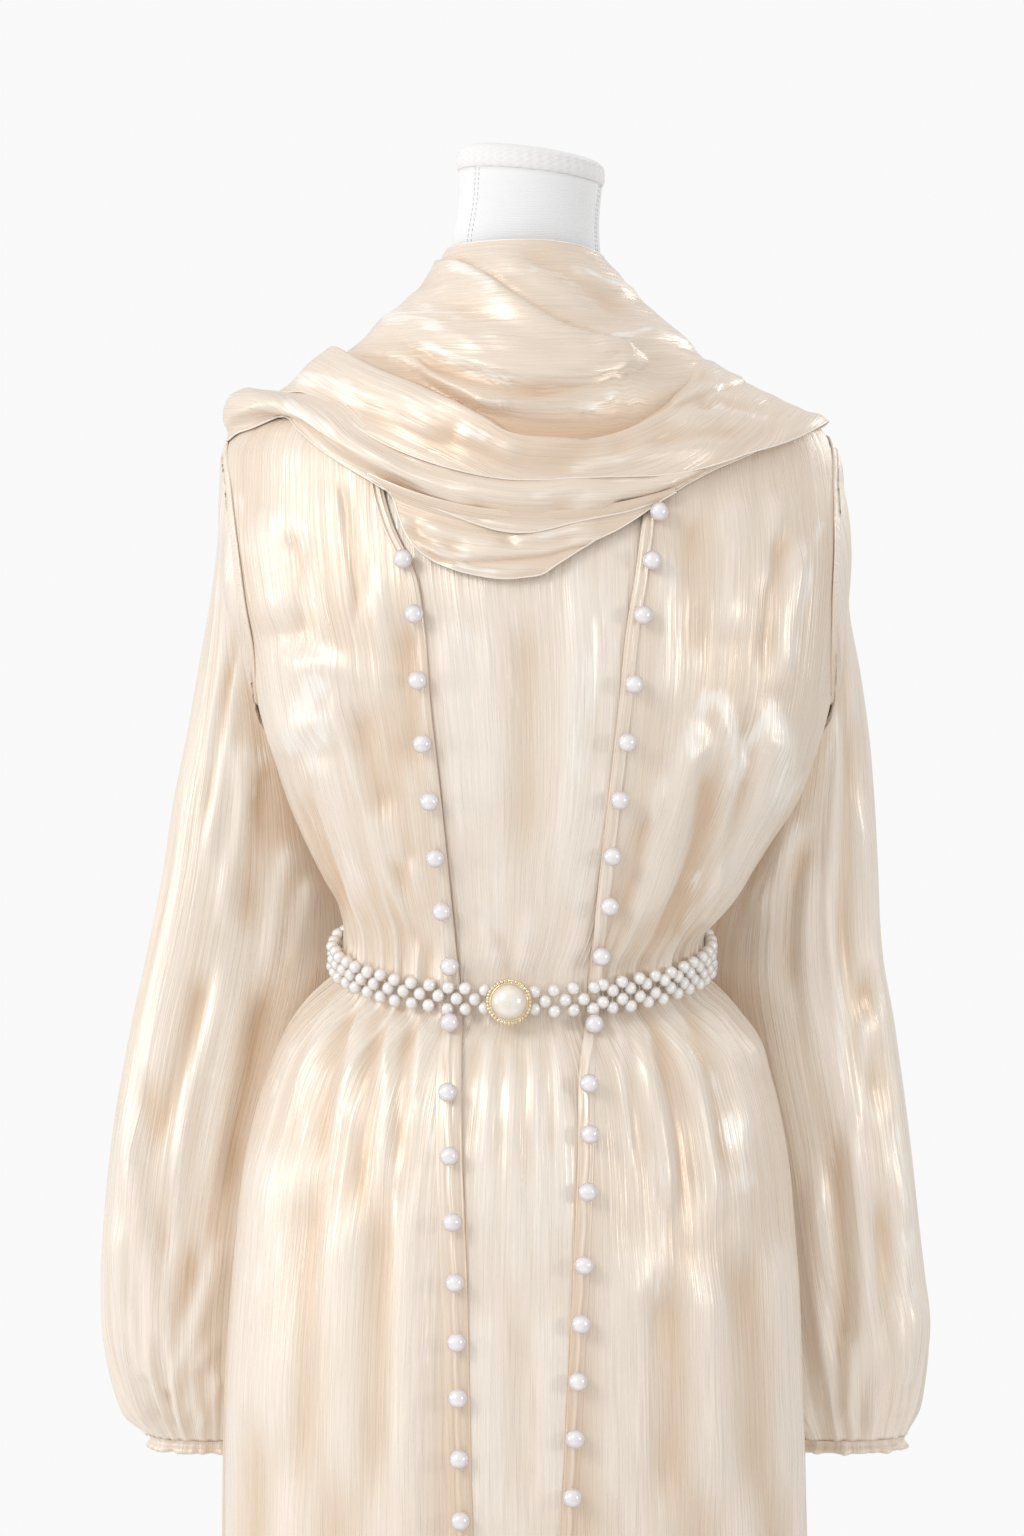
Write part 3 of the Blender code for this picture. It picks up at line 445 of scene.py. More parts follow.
def shell(name, outer, across, along, rise=0.0, closed=False, thickness=CLOTH, painted_highlight=0.0):
    """A thin closed cloth from its outer grid, with UV places in metres, its rise for painted shade and its
    painted highlight kept.
    """
    rows, columns = outer.shape[:2]
    inner = outer - thickness * grid_normals(outer, closed)
    number = wrapped(rows, columns)[:, :columns + closed]
    place = np.arange(rows * (columns + closed)).reshape(rows, -1)
    behind = number + rows * columns
    groups = [(grid_quads(number), grid_quads(place)),
              (grid_quads(behind)[:, ::-1], grid_quads(place)[:, ::-1]),
              (rim_quads(number[0], behind[0]), rim_quads(place[0], place[0])),
              (rim_quads(behind[-1], number[-1]), rim_quads(place[-1], place[-1]))]
    if not closed:
        groups.append((rim_quads(behind[:, 0], number[:, 0]), rim_quads(place[:, 0], place[:, 0])))
        groups.append((rim_quads(number[:, -1], behind[:, -1]), rim_quads(place[:, -1], place[:, -1])))
    faces = np.concatenate([group[0] for group in groups])
    corners = np.concatenate([group[1] for group in groups]).ravel()
    smooth = np.arange(len(faces)) < 2 * len(groups[0][0])
    uv = np.stack(np.broadcast_arrays(across, along), axis=-1).reshape(-1, 2)[corners]
    piece = put_mesh(name, np.concatenate([outer.reshape(-1, 3), inner.reshape(-1, 3)]),
                     faces.tolist(), smooth, uv)
    for title, level in ((SHADE_RISE_NAME, rise), (PAINTED_HIGHLIGHT_NAME, painted_highlight)):
        kept = piece.data.attributes.new(title, "FLOAT", "POINT")
        level = np.broadcast_to(level, (rows, columns)).ravel()
        kept.data.foreach_set("value", np.tile(level, 2).astype(np.float32))
    return piece


def run_down(points):
    """How far each grid point lies down its column, in metres."""
    steps = np.linalg.norm(np.diff(points, axis=0), axis=-1)
    return np.concatenate([np.zeros((1, points.shape[1])), np.cumsum(steps, axis=0)])


def dress(piece, material, slot, *replaced):
    """The piece gets its material, rides on the one body, and stands for the CAD nodes it replaces."""
    piece.data.materials.append(material)
    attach(piece, "root")
    if replaced:
        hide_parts(*replaced)
    triangles = sum(len(face.vertices) - 2 for face in piece.data.polygons)
    print(piece.name, "has", triangles, "triangles")
    return piece

# %% [markdown]
# The cloth is a satin organza: a sheer, stiff weave with a metallic yarn, so it is shiny on the
# ridges. Its colour is painted paler on the ridges and peach in the hollows, as painted shade. Its
# slubs run along the warp as fine streaks. They are noises stretched along V, which drive the
# colour, the roughness, the metal and a slight bump together.

# %% Satin organza
def add(tree, kind, inputs, **settings):
    """Adds a shader node; each input is a number, a colour or another node's output."""
    made = tree.nodes.new("ShaderNode" + kind)
    for key, value in settings.items():
        setattr(made, key, value)
    for key, value in inputs.items():
        if isinstance(value, bpy.types.NodeSocket):
            tree.links.new(value, made.inputs[key])
        else:
            made.inputs[key].default_value = value
    return made


def new_material(name, **levels):
    """A material, its node tree and its Principled shader, with the levels that stay the same all over."""
    material = bpy.data.materials.new(name)
    material.use_nodes = True
    shader = material.node_tree.nodes["Principled BSDF"]
    for title, level in levels.items():
        shader.inputs[title.replace("_", " ")].default_value = level
    return material, material.node_tree, shader


def drive(tree, shader, **sockets):
    """Node outputs drive the shader's inputs of the same names."""
    for title, socket in sockets.items():
        tree.links.new(socket, shader.inputs[title.replace("_", " ")])


def streaks(tree, place, across, along, detail):
    """Noise drawn out along the threads: so many to a metre across and along."""
    thin = add(tree, "Mapping", {"Vector": place, "Scale": (across, along, 1)}).outputs[0]
    return add(tree, "TexNoise", {"Vector": thin, "Scale": 1.0, "Detail": detail}).outputs[0]


def spread(tree, value, low, high, to_low, to_high):
    """A value spread from one range to another, held at the ends."""
    return add(tree, "MapRange", {0: value, 1: low, 2: high, 3: to_low, 4: to_high}).outputs[0]


def blend_colour(tree, share, first, second, kind="MIX"):
    """Two colours mixed by a share."""
    return add(tree, "MixRGB", {0: share, 1: first, 2: second}, blend_type=kind).outputs[0]


def plus(tree, value, times, other):
    """value * times + other."""
    return add(tree, "Math", {0: value, 1: times, 2: other}, operation="MULTIPLY_ADD").outputs[0]


# The near-white colour of the painted highlights
PAINTED_HIGHLIGHT_COLOUR = (1.0, 0.965, 0.91, 1)
# The rises at which the painted shade is deepest and the ridges palest
DEEP_RISE = -0.0054
PALE_RISE = 0.0009


def satin(name, light, deep):
    """Satin organza: painted shade in the hollows, paler ridges, painted highlight streaks, and slubs and
    wrinkles along the warp.
    """
    material, tree, shader = new_material(name, Specular_IOR_Level=0.6, Sheen_Weight=0.12,
                                          Sheen_Roughness=0.4)
    place = add(tree, "UVMap", {}, uv_map=MAP_NAME).outputs[0]
    fine = streaks(tree, place, 1000, 18, 3.0)
    slub = streaks(tree, place, 300, 5, 2.0)
    broad = streaks(tree, place, 62, 2.2, 2.0)
    brush = streaks(tree, place, 420, 32, 2.0)
    rise = add(tree, "Attribute", {}, attribute_name=SHADE_RISE_NAME).outputs["Fac"]
    painted_highlight = add(tree, "Attribute", {}, attribute_name=PAINTED_HIGHLIGHT_NAME).outputs["Fac"]
    # Painted shade: the colour goes from the hollows' peach to the ridges' pale by the rise
    lit = spread(tree, rise, DEEP_RISE, PALE_RISE, 0.0, 1.0)
    mixed = add(tree, "Math", {0: lit, 1: spread(tree, broad, 0.3, 0.7, -0.12, 0.12)}).outputs[0]
    colour = blend_colour(tree, spread(tree, mixed, 0, 1, 0, 1), (*deep, 1), (*light, 1))
    shade = spread(tree, plus(tree, slub, 0.7, fine), 0.60, 1.10, 0.92, 1.04)
    tint = add(tree, "CombineColor", {0: shade, 1: shade, 2: shade}).outputs[0]
    colour = blend_colour(tree, 1.0, colour, tint, "MULTIPLY")
    # Painted highlight: where the drawn patches or the broad noise are strong, brush-like streaks mix the
    # colour towards near-white
    painted_sparkle = plus(tree, spread(tree, broad, 0.58, 0.78, 0.0, 0.30), 1.0, painted_highlight)
    painted_highlight_stroke = spread(tree, plus(tree, brush, 2.2, painted_sparkle), 1.45, 2.10, 0.0, 0.68)
    drive(tree, shader, Base_Color=blend_colour(tree, painted_highlight_stroke, colour, PAINTED_HIGHLIGHT_COLOUR),
          Roughness=spread(tree, fine, 0.35, 0.65, 0.24, 0.46),
          Metallic=spread(tree, slub, 0.45, 0.70, 0.10, 0.44))
    height = plus(tree, broad, 1.1, plus(tree, slub, 0.8, plus(tree, fine, 0.25, 0.0)))
    bump = add(tree, "Bump", {"Strength": 1.0, "Distance": 0.001, "Height": height})
    drive(tree, shader, Normal=bump.outputs[0])
    return material


# Each satin's first colour is its ridges' and the second the painted shade of its hollows
abaya_satin = satin("abaya satin organza", (0.880, 0.785, 0.680), (0.730, 0.545, 0.388))
# The sleeves are the abaya's cloth, painted lighter because they face sideways and get less light
sleeve_satin_painted_lighter = satin("sleeve satin organza", (0.905, 0.812, 0.710), (0.765, 0.590, 0.430))
slip_satin = satin("slip satin organza", (0.915, 0.830, 0.732), (0.780, 0.620, 0.475))
scarf_satin = satin("scarf satin organza", (0.855, 0.735, 0.618), (0.715, 0.515, 0.355))

# %% [markdown]
# The fronts are cut from shoulder to hem and left open, so each has a free edge that curves from the
# neck to the waist and hangs straight below. A table gives the edge's X at each height; the
# section turns that into a bearing. The armhole takes an oval bite out of the side.

# %% Where the fronts are cut
SEAM_BEARING = 0.03
HEM = 0.030
NECKLINE = 1.446
ARMHOLE_TOP = 1.366
ARMHOLE_BOTTOM = 1.178
ARMHOLE_MIDDLE = (ARMHOLE_TOP + ARMHOLE_BOTTOM) / 2
ARMHOLE_HALF = (ARMHOLE_TOP - ARMHOLE_BOTTOM) / 2
ARMHOLE_BEARING = 17.0

OPENING = table("height left right", """
1.446 -.052 .052
1.415 -.088 .078
1.382 -.102 .086
1.33 -.106 .085
1.3 -.098 .08
1.262 -.081 .075
1.226 -.0755 .069
1.172 -.0712 .0635
1.104 -.063 .0552
1.06 -.0578 .0494
1.011 -.052 .044
.979 -.0486 .0415
.948 -.0486 .0368
.855 -.048 .0343
.762 -.0444 .0305
.646 -.0416 .0248
.5 -.038 .018
.03 -.033 .008""")


def side_name(side):
    """The name of a viewer's side: -1 is the left and 1 the right."""
    return "right" if side > 0 else "left"


def edge_bearing(height, side):
    """The bearing of a front edge: the arcsine of its X over the section's half width."""
    across = eased(OPENING, side_name(side), height) - eased(BODY, "middle", height)
    return np.degrees(np.arcsin(np.clip(across / eased(BODY, "half_width", height), -0.98, 0.98)))


def armhole_cut(height):
    """Degrees that the armhole takes off a panel: its bearing times the root of 1 - s * s."""
    return ARMHOLE_BEARING * np.sqrt(np.clip(1 - ((height - ARMHOLE_MIDDLE) / ARMHOLE_HALF) ** 2, 0, 1))


def panel_heights(count):
    """Heights from the neckline to the hem, closer together round the armhole and the belt."""
    rows = table("share height", [
        (0.00, NECKLINE), (0.12, ARMHOLE_TOP), (0.32, ARMHOLE_BOTTOM), (0.55, WAIST),
        (0.78, 0.720), (1.00, HEM)])
    heights = np.interp(np.linspace(0, 1, count), rows["share"], rows["height"])
    nearest = [np.abs(heights - level).argmin() for level in (ARMHOLE_TOP, ARMHOLE_BOTTOM)]
    heights[nearest] = ARMHOLE_TOP, ARMHOLE_BOTTOM
    return heights

# %% [markdown]
# These are the folds that make the two fronts what they are. Above the belt they fan from the bust
# to the waist, and on one side they cross into a flame shape. Below it they spring from the pleats
# and open out. Positive ones are ridges and negative ones troughs.

# %% The fronts' folds
LEFT_FOLDS = drawn("""
-.0016 .004 .3 | -143 1349 -139 1322 -135 1289 -130 1256 -131 1221
.0026 .007 .5 | -147 1206 -141 1168 -133 1130 -119 1089 -106 1048 -92 1015 -78 982
.0026 .007 .4 | -161 1147 -150 1110 -140 1076 -131 1043 -124 1002
-.0022 .006 0 | -171 1110 -156 1069 -143 1036 -131 1006
-.0026 .006 .2 | -102 1065 -91 1028 -82 999 -77 980
.0024 .006 .3 | -88 1065 -81 1024 -73 982
-.0022 .011 0 | -92 1243 -90 1176 -88 1110
.005 .026 0 | -156 1221 -166 1176 -161 1132
.002 .012 0 | -198 1325 -195 1280 -184 1221
-.002 .009 0 | -176 1310 -170 1250 -166 1206
-.0028 .014 0 | -136 1176 -121 1132 -103 1080
.0016 .008 0 | -112 1280 -110 1221 -107 1162
.0022 .006 .4 | -128 970 -144 949 -157 928 -167 902 -173 865
.0022 .006 .4 | -116 964 -126 941 -133 912 -139 880 -141 843
.0024 .006 .4 | -97 953 -103 928 -107 895 -110 858 -112 806
.0022 .005 .4 | -79 951 -80 924 -84 895 -86 850
-.0024 .007 0 | -122 965 -136 939 -146 910 -153 873 -159 821
-.0024 .007 0 | -106 958 -115 932 -121 895 -125 843 -127 776
-.0022 .006 0 | -88 952 -92 921 -96 880 -98 821
.003 .02 0 | -188 865 -193 791 -196 702 -198 599
-.0025 .016 0 | -166 843 -168 762 -170 658 -171 562
.0028 .016 0 | -136 821 -140 732 -141 643 -143 559
-.0022 .014 0 | -109 821 -112 732 -113 643 -115 559
.0022 .012 0 | -87 836 -90 739 -91 643 -93 559""")

RIGHT_FOLDS = drawn("""
.0042 .013 .3 | 127 1165 119 1136 113 1106 106 1069 96 1034 84 1000
.0034 .009 .4 | 139 1176 150 1145 150 1116 146 1080 136 1036 124 999
.0044 .012 -.3 | 173 1181 184 1156 187 1132 177 1098 159 1059 143 1027 133 995
-.0042 .009 0 | 161 1176 162 1143 159 1110 150 1073 136 1028 122 995
-.0036 .009 0 | 133 1143 131 1102 121 1058 104 1013 93 988
.0022 .009 0 | 156 1116 170 1135 186 1150
.0024 .006 .4 | 99 1130 93 1089 87 1059 76 1023 66 994
-.0022 .005 0 | 90 1102 84 1065 75 1032 63 1002
.0022 .005 .3 | 139 1053 133 1023 125 1002
-.002 .005 0 | 123 1050 116 1017 112 991
.0016 .007 0 | 184 1336 179 1294 177 1250
.0032 .008 -.4 | 204 1302 198 1256 191 1212 193 1176
-.0026 .008 0 | 192 1310 184 1258 179 1213 180 1184
-.002 .01 0 | 124 1325 122 1250 124 1199
.002 .014 0 | 153 1339 151 1273 150 1213
.0018 .01 0 | 103 1295 100 1221 97 1154
.0024 .007 .4 | 65 945 70 912 72 873 73 821
.0036 .007 .5 | 75 948 80 928 86 904 94 874 100 836 103 784
.003 .008 .4 | 99 951 107 930 119 904 129 873 136 828 139 776
.0028 .008 .4 | 121 964 134 941 148 912 158 880 164 836
.0022 .007 .3 | 136 973 150 956 163 929 171 895
-.0028 .008 0 | 87 950 95 924 107 887 115 843 119 784
-.0028 .008 0 | 110 958 121 933 135 902 144 858 150 806
-.0022 .007 0 | 70 945 75 917 79 873 84 821
.003 .017 0 | 76 784 75 702 73 628 72 559
-.0026 .015 0 | 100 762 102 673 103 559
.0032 .018 0 | 130 769 133 688 136 559
-.0026 .015 0 | 158 784 162 688 165 559
.0026 .013 0 | 184 791 189 702 190 559""")

# Long folds round the sides and the back, placed by bearing and height: the bearing at the top and
# at the bottom, the half width in degrees, the rise, and where the fold starts and ends
HANGING_FOLDS = table("from_bearing to_bearing half_width rise top bottom", """
100 96 4 .0022 1.16 1
114 104 5 .003 1.33 .995
128 120 4 -.0026 1.28 1
142 133 5 .0032 1.4 .99
158 152 5 -.0024 1.34 1
170 168 4 .0028 1.25 .99
184 186 5 .0026 1.39 .995
196 203 4.5 -.0026 1.31 1
210 218 5 .0034 1.37 .99
226 233 4 -.0024 1.24 1
240 250 5 .003 1.33 .99
256 262 4 .002 1.15 1
98 94 5 -.0026 .96 .42
112 108 6 .0042 .97 .03
127 130 5.5 -.003 .965 .24
141 146 6 .0044 .97 .03
160 163 5 -.0028 .96 .33
176 180 6 .0042 .97 .03
192 197 5 -.003 .965 .28
209 214 6.5 .0046 .97 .03
228 231 5 -.0028 .96 .4
246 250 6 .0042 .97 .03
263 266 5 -.0024 .96 .38""")
HEM_WAVES = 15
HEM_WAVE_DEPTH = 0.0034
WAIST_PLEATS = 74
PLEAT_DEPTH = 0.0032
PLEAT_REACH = 0.070
GATHERED_IN = 0.0012
RIPPLE_COUNTS = (9, 14, 21, 33)
RIPPLE_DEPTH = 0.0006


def hanging_folds(bearing, height, rows):
    """Ridges whose bearing slides evenly from their top to their bottom, faded at both ends."""
    rise = np.zeros(np.broadcast(bearing, height).shape)
    for start, end, half, depth, top, bottom in zip(*rows.values()):
        share = np.clip((top - height) / (top - bottom), 0, 1)
        ends = soft_step(0, 0.25, share) * soft_step(0, 0.12, 1 - share + 0.12 * (bottom < 0.05))
        rise += depth * ends * bell(turned_to(bearing, start + (end - start) * share), half)
    return rise


EDGE_CURL = 0.0012
EDGE_REACH = 0.0030


def edge_curl(points, height):
    """The free edges turn in: -curl * exp(-(d / reach)^2), d the way across from the edge."""
    left = eased(OPENING, "left", height) - points[..., 0]
    right = points[..., 0] - eased(OPENING, "right", height)
    inside = np.where(points[..., 1] < 0, np.maximum(np.maximum(left, right), 0), 1.0)
    return -EDGE_CURL * bell(inside, EDGE_REACH)


def worn_base(bearing, height, folds):
    """The section's points, and how far the cloth rises off them."""
    points = oval(BODY, bearing, height)
    seen = front_plane(points)
    facing = soft_step(-0.10, 0.30, np.cos(np.radians(bearing)))
    lower = soft_step(0.0, 0.62, WAIST - 0.05 - height)
    rise = placed_folds(seen, folds) * facing if folds else 0.0
    rise = rise + hanging_folds(bearing, height, HANGING_FOLDS)
    rise = rise + gathers(bearing, height, WAIST, WAIST_PLEATS, PLEAT_DEPTH,
                          PLEAT_REACH, PLEAT_REACH, 5) - GATHERED_IN
    rise = rise + ripples(bearing, height, RIPPLE_COUNTS, RIPPLE_DEPTH, 8)
    rise = rise + HEM_WAVE_DEPTH * lower * np.cos(np.radians(HEM_WAVES * bearing))
    return points, rise + edge_curl(points, height)


def abaya_surface(bearing, height, folds=()):
    """The abaya's outer points and their rise: the section moved along its bearing by the folds."""
    bearing, height = np.broadcast_arrays(bearing, height)
    points, rise = worn_base(bearing, height, folds)
    return points + rise[..., None] * outward(bearing), rise

# %% [markdown]
# The front panels and the back are separate pieces that meet at the sides and the shoulders. The
# bearings of their side edges leave a narrow gap, but some of their faces still cross.

# %% The abaya's panels
FRONT_COLUMNS = 92
BACK_COLUMNS = 118
PANEL_ROWS = 226
BACK_ROWS = 166
THREAD_TURN = 0.215
# Painted shade on the pleats over the belt: how much, how far above the waist, and its reach
WAIST_SHADE = 0.0022
SHADE_ABOVE = 0.044
SHADE_REACH = 0.045


def panel(name, bearing, heights, folds, replaced):
    """One panel over a grid of bearings and heights."""
    points, rise = abaya_surface(bearing, heights[:, None], folds)
    across = np.radians(bearing) * THREAD_TURN
    highlight_paint = painted_highlight_share(name, front_plane(points), points[..., 1] < 0) if name in PAINTED_HIGHLIGHTS else 0.0
    # Painted shade above the belt, in front only, taken off the rise that colours the cloth
    shade = WAIST_SHADE * bell(heights[:, None] - WAIST - SHADE_ABOVE, SHADE_REACH) * (points[..., 1] < 0)
    piece = shell(name + "_cloth", points, across, -run_down(points), rise - shade, painted_highlight=highlight_paint)
    return dress(piece, abaya_satin, "abaya", replaced)


def front_bearings(heights, side, columns):
    """Bearings from one end of a front to the other, always from -X to +X."""
    edge = edge_bearing(heights, side)
    seam = side * (90 - SEAM_BEARING - armhole_cut(heights))
    ends = (seam, edge) if side < 0 else (edge, seam)
    return ends[0][:, None] + (ends[1] - ends[0])[:, None] * np.linspace(0, 1, columns)


heights = panel_heights(PANEL_ROWS)
front_left = panel("front_left", front_bearings(heights, -1, FRONT_COLUMNS), heights,
                   LEFT_FOLDS, "abaya_front_left")
front_right = panel("front_right", front_bearings(heights, 1, FRONT_COLUMNS), heights,
                    RIGHT_FOLDS, "abaya_front_right")
back_heights = panel_heights(BACK_ROWS)
side_bearing = 90 - SEAM_BEARING - armhole_cut(back_heights)
back_bearings = (180 - side_bearing[:, None]
                 + 2 * side_bearing[:, None] * np.linspace(0, 1, BACK_COLUMNS))
back = panel("back", back_bearings, back_heights, (), "abaya_back")

# %% [markdown]
# The slip is a plain dress of the same cloth under the abaya, held on narrow straps. Only a strip of
# it shows between the open fronts, but it is whole.

# %% The slip dress
SLIP_TOP = 1.345

SLIP = table("height inset", """
1.346 .006
1.25 .008
1.08 .008
1.021 .0049
.991 .0042
.956 .0054
.85 .01
.03 .012""")

SLIP_FOLDS = drawn("""
.0018 .012 0 | -57 1250 -54 1191 -50 1132 -44 1058
-.0022 .016 0 | -1 1250 -4 1176 -5 1102 -7 1043
.0028 .015 .2 | 40 1280 41 1213 36 1132 32 1058 27 1006
-.0016 .008 0 | 56 1250 53 1184 48 1102
.0014 .009 0 | -29 1236 -27 1162 -26 1087
-.002 .005 0 | -24 1006 -18 978 -16 965
.0018 .005 0 | -35 1028 -26 984 -21 965
.0018 .005 0 | 2 1024 -4 988 -7 965
.002 .006 .2 | -28 935 -30 895 -32 850 -33 762
-.002 .006 0 | -21 932 -22 887 -22 821
.0022 .006 .2 | -13 930 -13 895 -12 828 -11 732
-.0022 .006 0 | -6 932 -4 887 -3 813
.002 .006 .2 | 1 935 3 895 7 836 8 747
-.0018 .006 0 | 10 936 13 895 16 828
.002 .006 .2 | 18 939 21 904 24 843 24 762
-.0016 .005 0 | 29 941 31 910 33 865
-.0018 .006 0 | -40 936 -42 895 -42 836
.002 .014 0 | -29 732 -27 643 -26 559
-.0018 .014 0 | -7 732 -6 643 -5 559
.002 .014 0 | 14 732 14 643 13 559""")


OPEN_INSET = 0.0040


def slip_inset(bearing, height):
    """How far the slip lies inside the abaya's section: less where the fronts are open."""
    inset = eased(SLIP, "inset", height)
    shown = soft_step(2, 12, bearing - edge_bearing(height, -1) + 12)
    shown = shown * soft_step(2, 12, edge_bearing(height, 1) - bearing + 12)
    return inset + (np.minimum(OPEN_INSET, inset) - inset) * shown


def slip_surface(bearing, height, folds=()):
    """The slip's outer points: inside the abaya's section by its inset, with folds of its own."""
    bearing, height = np.broadcast_arrays(bearing, height)
    inset = slip_inset(bearing, height)
    points = oval(BODY, bearing, height) - inset[..., None] * outward(bearing)
    rise = placed_folds(front_plane(points), folds) if folds else np.zeros(bearing.shape)
    rise = rise + gathers(bearing, height, WAIST, 60, 0.0010, 0.045, 0.050, 11) - 0.0005
    rise = rise + ripples(bearing, height, (11, 19, 31), 0.0007, 12)
    return points + rise[..., None] * outward(bearing), rise


def slip_panel(name, bearing, heights, folds, replaced):
    """One half of the slip."""
    points, rise = slip_surface(bearing, heights[:, None], folds)
    highlight_paint = painted_highlight_share(name, front_plane(points), 1.0) if name in PAINTED_HIGHLIGHTS else 0.0
    piece = shell(name + "_cloth", points, np.radians(bearing) * THREAD_TURN, -run_down(points), rise,
                  painted_highlight=highlight_paint)
    return dress(piece, slip_satin, "slip", replaced)


slip_heights = np.linspace(SLIP_TOP, HEM, 150)
slip_side = 90 - SEAM_BEARING
slip_front = slip_panel("slip_front", np.linspace(-slip_side, slip_side, 116)[None, :],
                        slip_heights, SLIP_FOLDS, "slip_front")
slip_back = slip_panel("slip_back", np.linspace(180 - slip_side, 180 + slip_side, 60)[None, :],
                       np.linspace(SLIP_TOP, HEM, 80), (), "slip_back")

# %% [markdown]
# The sleeves are full and long. They hang from the armhole down the sides, swell towards the wrist,
# and are drawn into a narrow cuff. A ring at each height is an oval between an outer and an inner
# end, kept clear of the body's smooth section, though not of the folds on it. Their folds are drawn
# as lines too, on the half that faces front.

# %% The sleeves' rings
SLEEVE_COLUMNS = "outer_x outer_y outer_z inner_x inner_y inner_z half_depth"
SLEEVE_LEFT = table(SLEEVE_COLUMNS, """
.2265 -.01 1.36 .194 -.014 1.17 .036
.2285 -.006 1.332 .19 .004 1.156 .038
.232 .004 1.285 .188 .036 1.14 .04
.2385 .014 1.24 .175 .06 1.122 .041
.247 .025 1.195 .163 .078 1.102 .042
.2555 .034 1.15 .152 .09 1.08 .042
.266 .042 1.1 .142 .1 1.052 .043
.274 .05 1.05 .132 .108 1.016 .043
.2878 .058 .985 .128 .114 .965 .044
.3005 .064 .93 .14 .12 .91 .046
.3143 .068 .85 .17 .124 .83 .05
.322 .072 .765 .192 .126 .75 .053
.322 .076 .712 .196 .124 .7 .052
.3165 .078 .678 .198 .118 .668 .048
.305 .08 .645 .202 .112 .64 .04
.289 .084 .618 .208 .106 .615 .029""")
SLEEVE_RIGHT = table(SLEEVE_COLUMNS, """
.231 -.01 1.36 .2 -.014 1.17 .036
.233 -.006 1.332 .197 .004 1.156 .038
.236 .004 1.285 .208 .036 1.14 .04
.24 .014 1.24 .194 .06 1.122 .041
.2485 .025 1.195 .18 .078 1.102 .042
.2547 .034 1.15 .168 .09 1.08 .042
.2585 .042 1.1 .156 .1 1.052 .043
.2628 .05 1.05 .138 .108 1.016 .043
.2675 .058 .985 .125 .114 .965 .044
.277 .064 .93 .132 .12 .91 .046
.2875 .068 .85 .16 .124 .83 .05
.2968 .072 .765 .176 .126 .75 .053
.304 .076 .712 .182 .124 .7 .052
.303 .078 .682 .186 .118 .672 .048
.296 .08 .648 .192 .112 .643 .04
.287 .084 .618 .2 .106 .615 .029""")


def clear_of_body(points, gap):
    """Points moved out of the abaya's sections until they stand a gap off them."""
    middle, away, share = off_section(points, gap)
    moved = points.copy()
    moved[..., :2] = middle + away * np.where(share < 1, 1 / share, 1)
    return moved


def armhole_loop(side, turn, folds):
    """The armhole's loop by turn: its height is a cosine, and its cut the sine, front and back."""
    height = ARMHOLE_MIDDLE + ARMHOLE_HALF * np.cos(turn)
    bearing = side * (90 - np.sign(np.sin(turn)) * SEAM_BEARING - ARMHOLE_BEARING * np.sin(turn))
    loop, _ = abaya_surface(bearing, height, folds)
    return loop


def sleeve_axes(side, place):
    """Each ring's middle, its outward reach and its depth direction, by place down the arm."""
    data = SLEEVE_RIGHT if side > 0 else SLEEVE_LEFT
    data = dict(data, row=np.arange(float(len(data["half_depth"]))))
    ends = {}
    for end in ("outer", "inner"):
        ends[end] = np.stack([eased(data, end + "_" + axis, place, "row") for axis in "xyz"], axis=-1)
        ends[end] = ends[end] * np.array([side, 1, 1])
    reach = (ends["outer"] - ends["inner"]) / 2
    line = unit(reach)
    across = unit(np.array([0.0, 1.0, 0.0]) - line[..., 1:2] * line)
    deep = eased(data, "half_depth", place, "row")[..., None] * across
    return (ends["outer"] + ends["inner"]) / 2, reach, deep


TUCK = 0.0060
TUCK_DEPTH = 0.0015
OFF_AT_ARMHOLE = 0.0010
OFF_LOWER = 0.0020


def sleeve_points(side, turn, place):
    """The sleeve's smooth points: the ring below, blended into the armhole and tucked under its edge."""
    turn, place = np.broadcast_arrays(turn, place)
    middle, reach, deep = sleeve_axes(side, np.maximum(place, 0))
    ring = middle + reach * np.cos(turn)[..., None] - deep * np.sin(turn)[..., None]
    ring = clear_of_body(ring, OFF_AT_ARMHOLE + OFF_LOWER * np.clip(place / 2, 0, 1))
    loop = armhole_loop(side, turn, RIGHT_FOLDS if side > 0 else LEFT_FOLDS)
    away = loop - loop.mean(axis=1, keepdims=True)
    away[..., 0] = 0
    loop = loop + TUCK * (1 - soft_step(-1.0, -0.72, place))[..., None] * unit(away)
    loop = loop - (TUCK_DEPTH * (1 - soft_step(-0.9, -0.2, place)))[..., None] * np.array([side, 0, 0])
    share = soft_step(-1.0, 0.6, place)[..., None]
    return loop * (1 - share) + ring * share

# %% [markdown]
# The folds of the two sleeves differ: one hangs close to the body and the other stands off. Pleats
# spring from the cuff and from the shoulder, so the gathers are used at both ends.

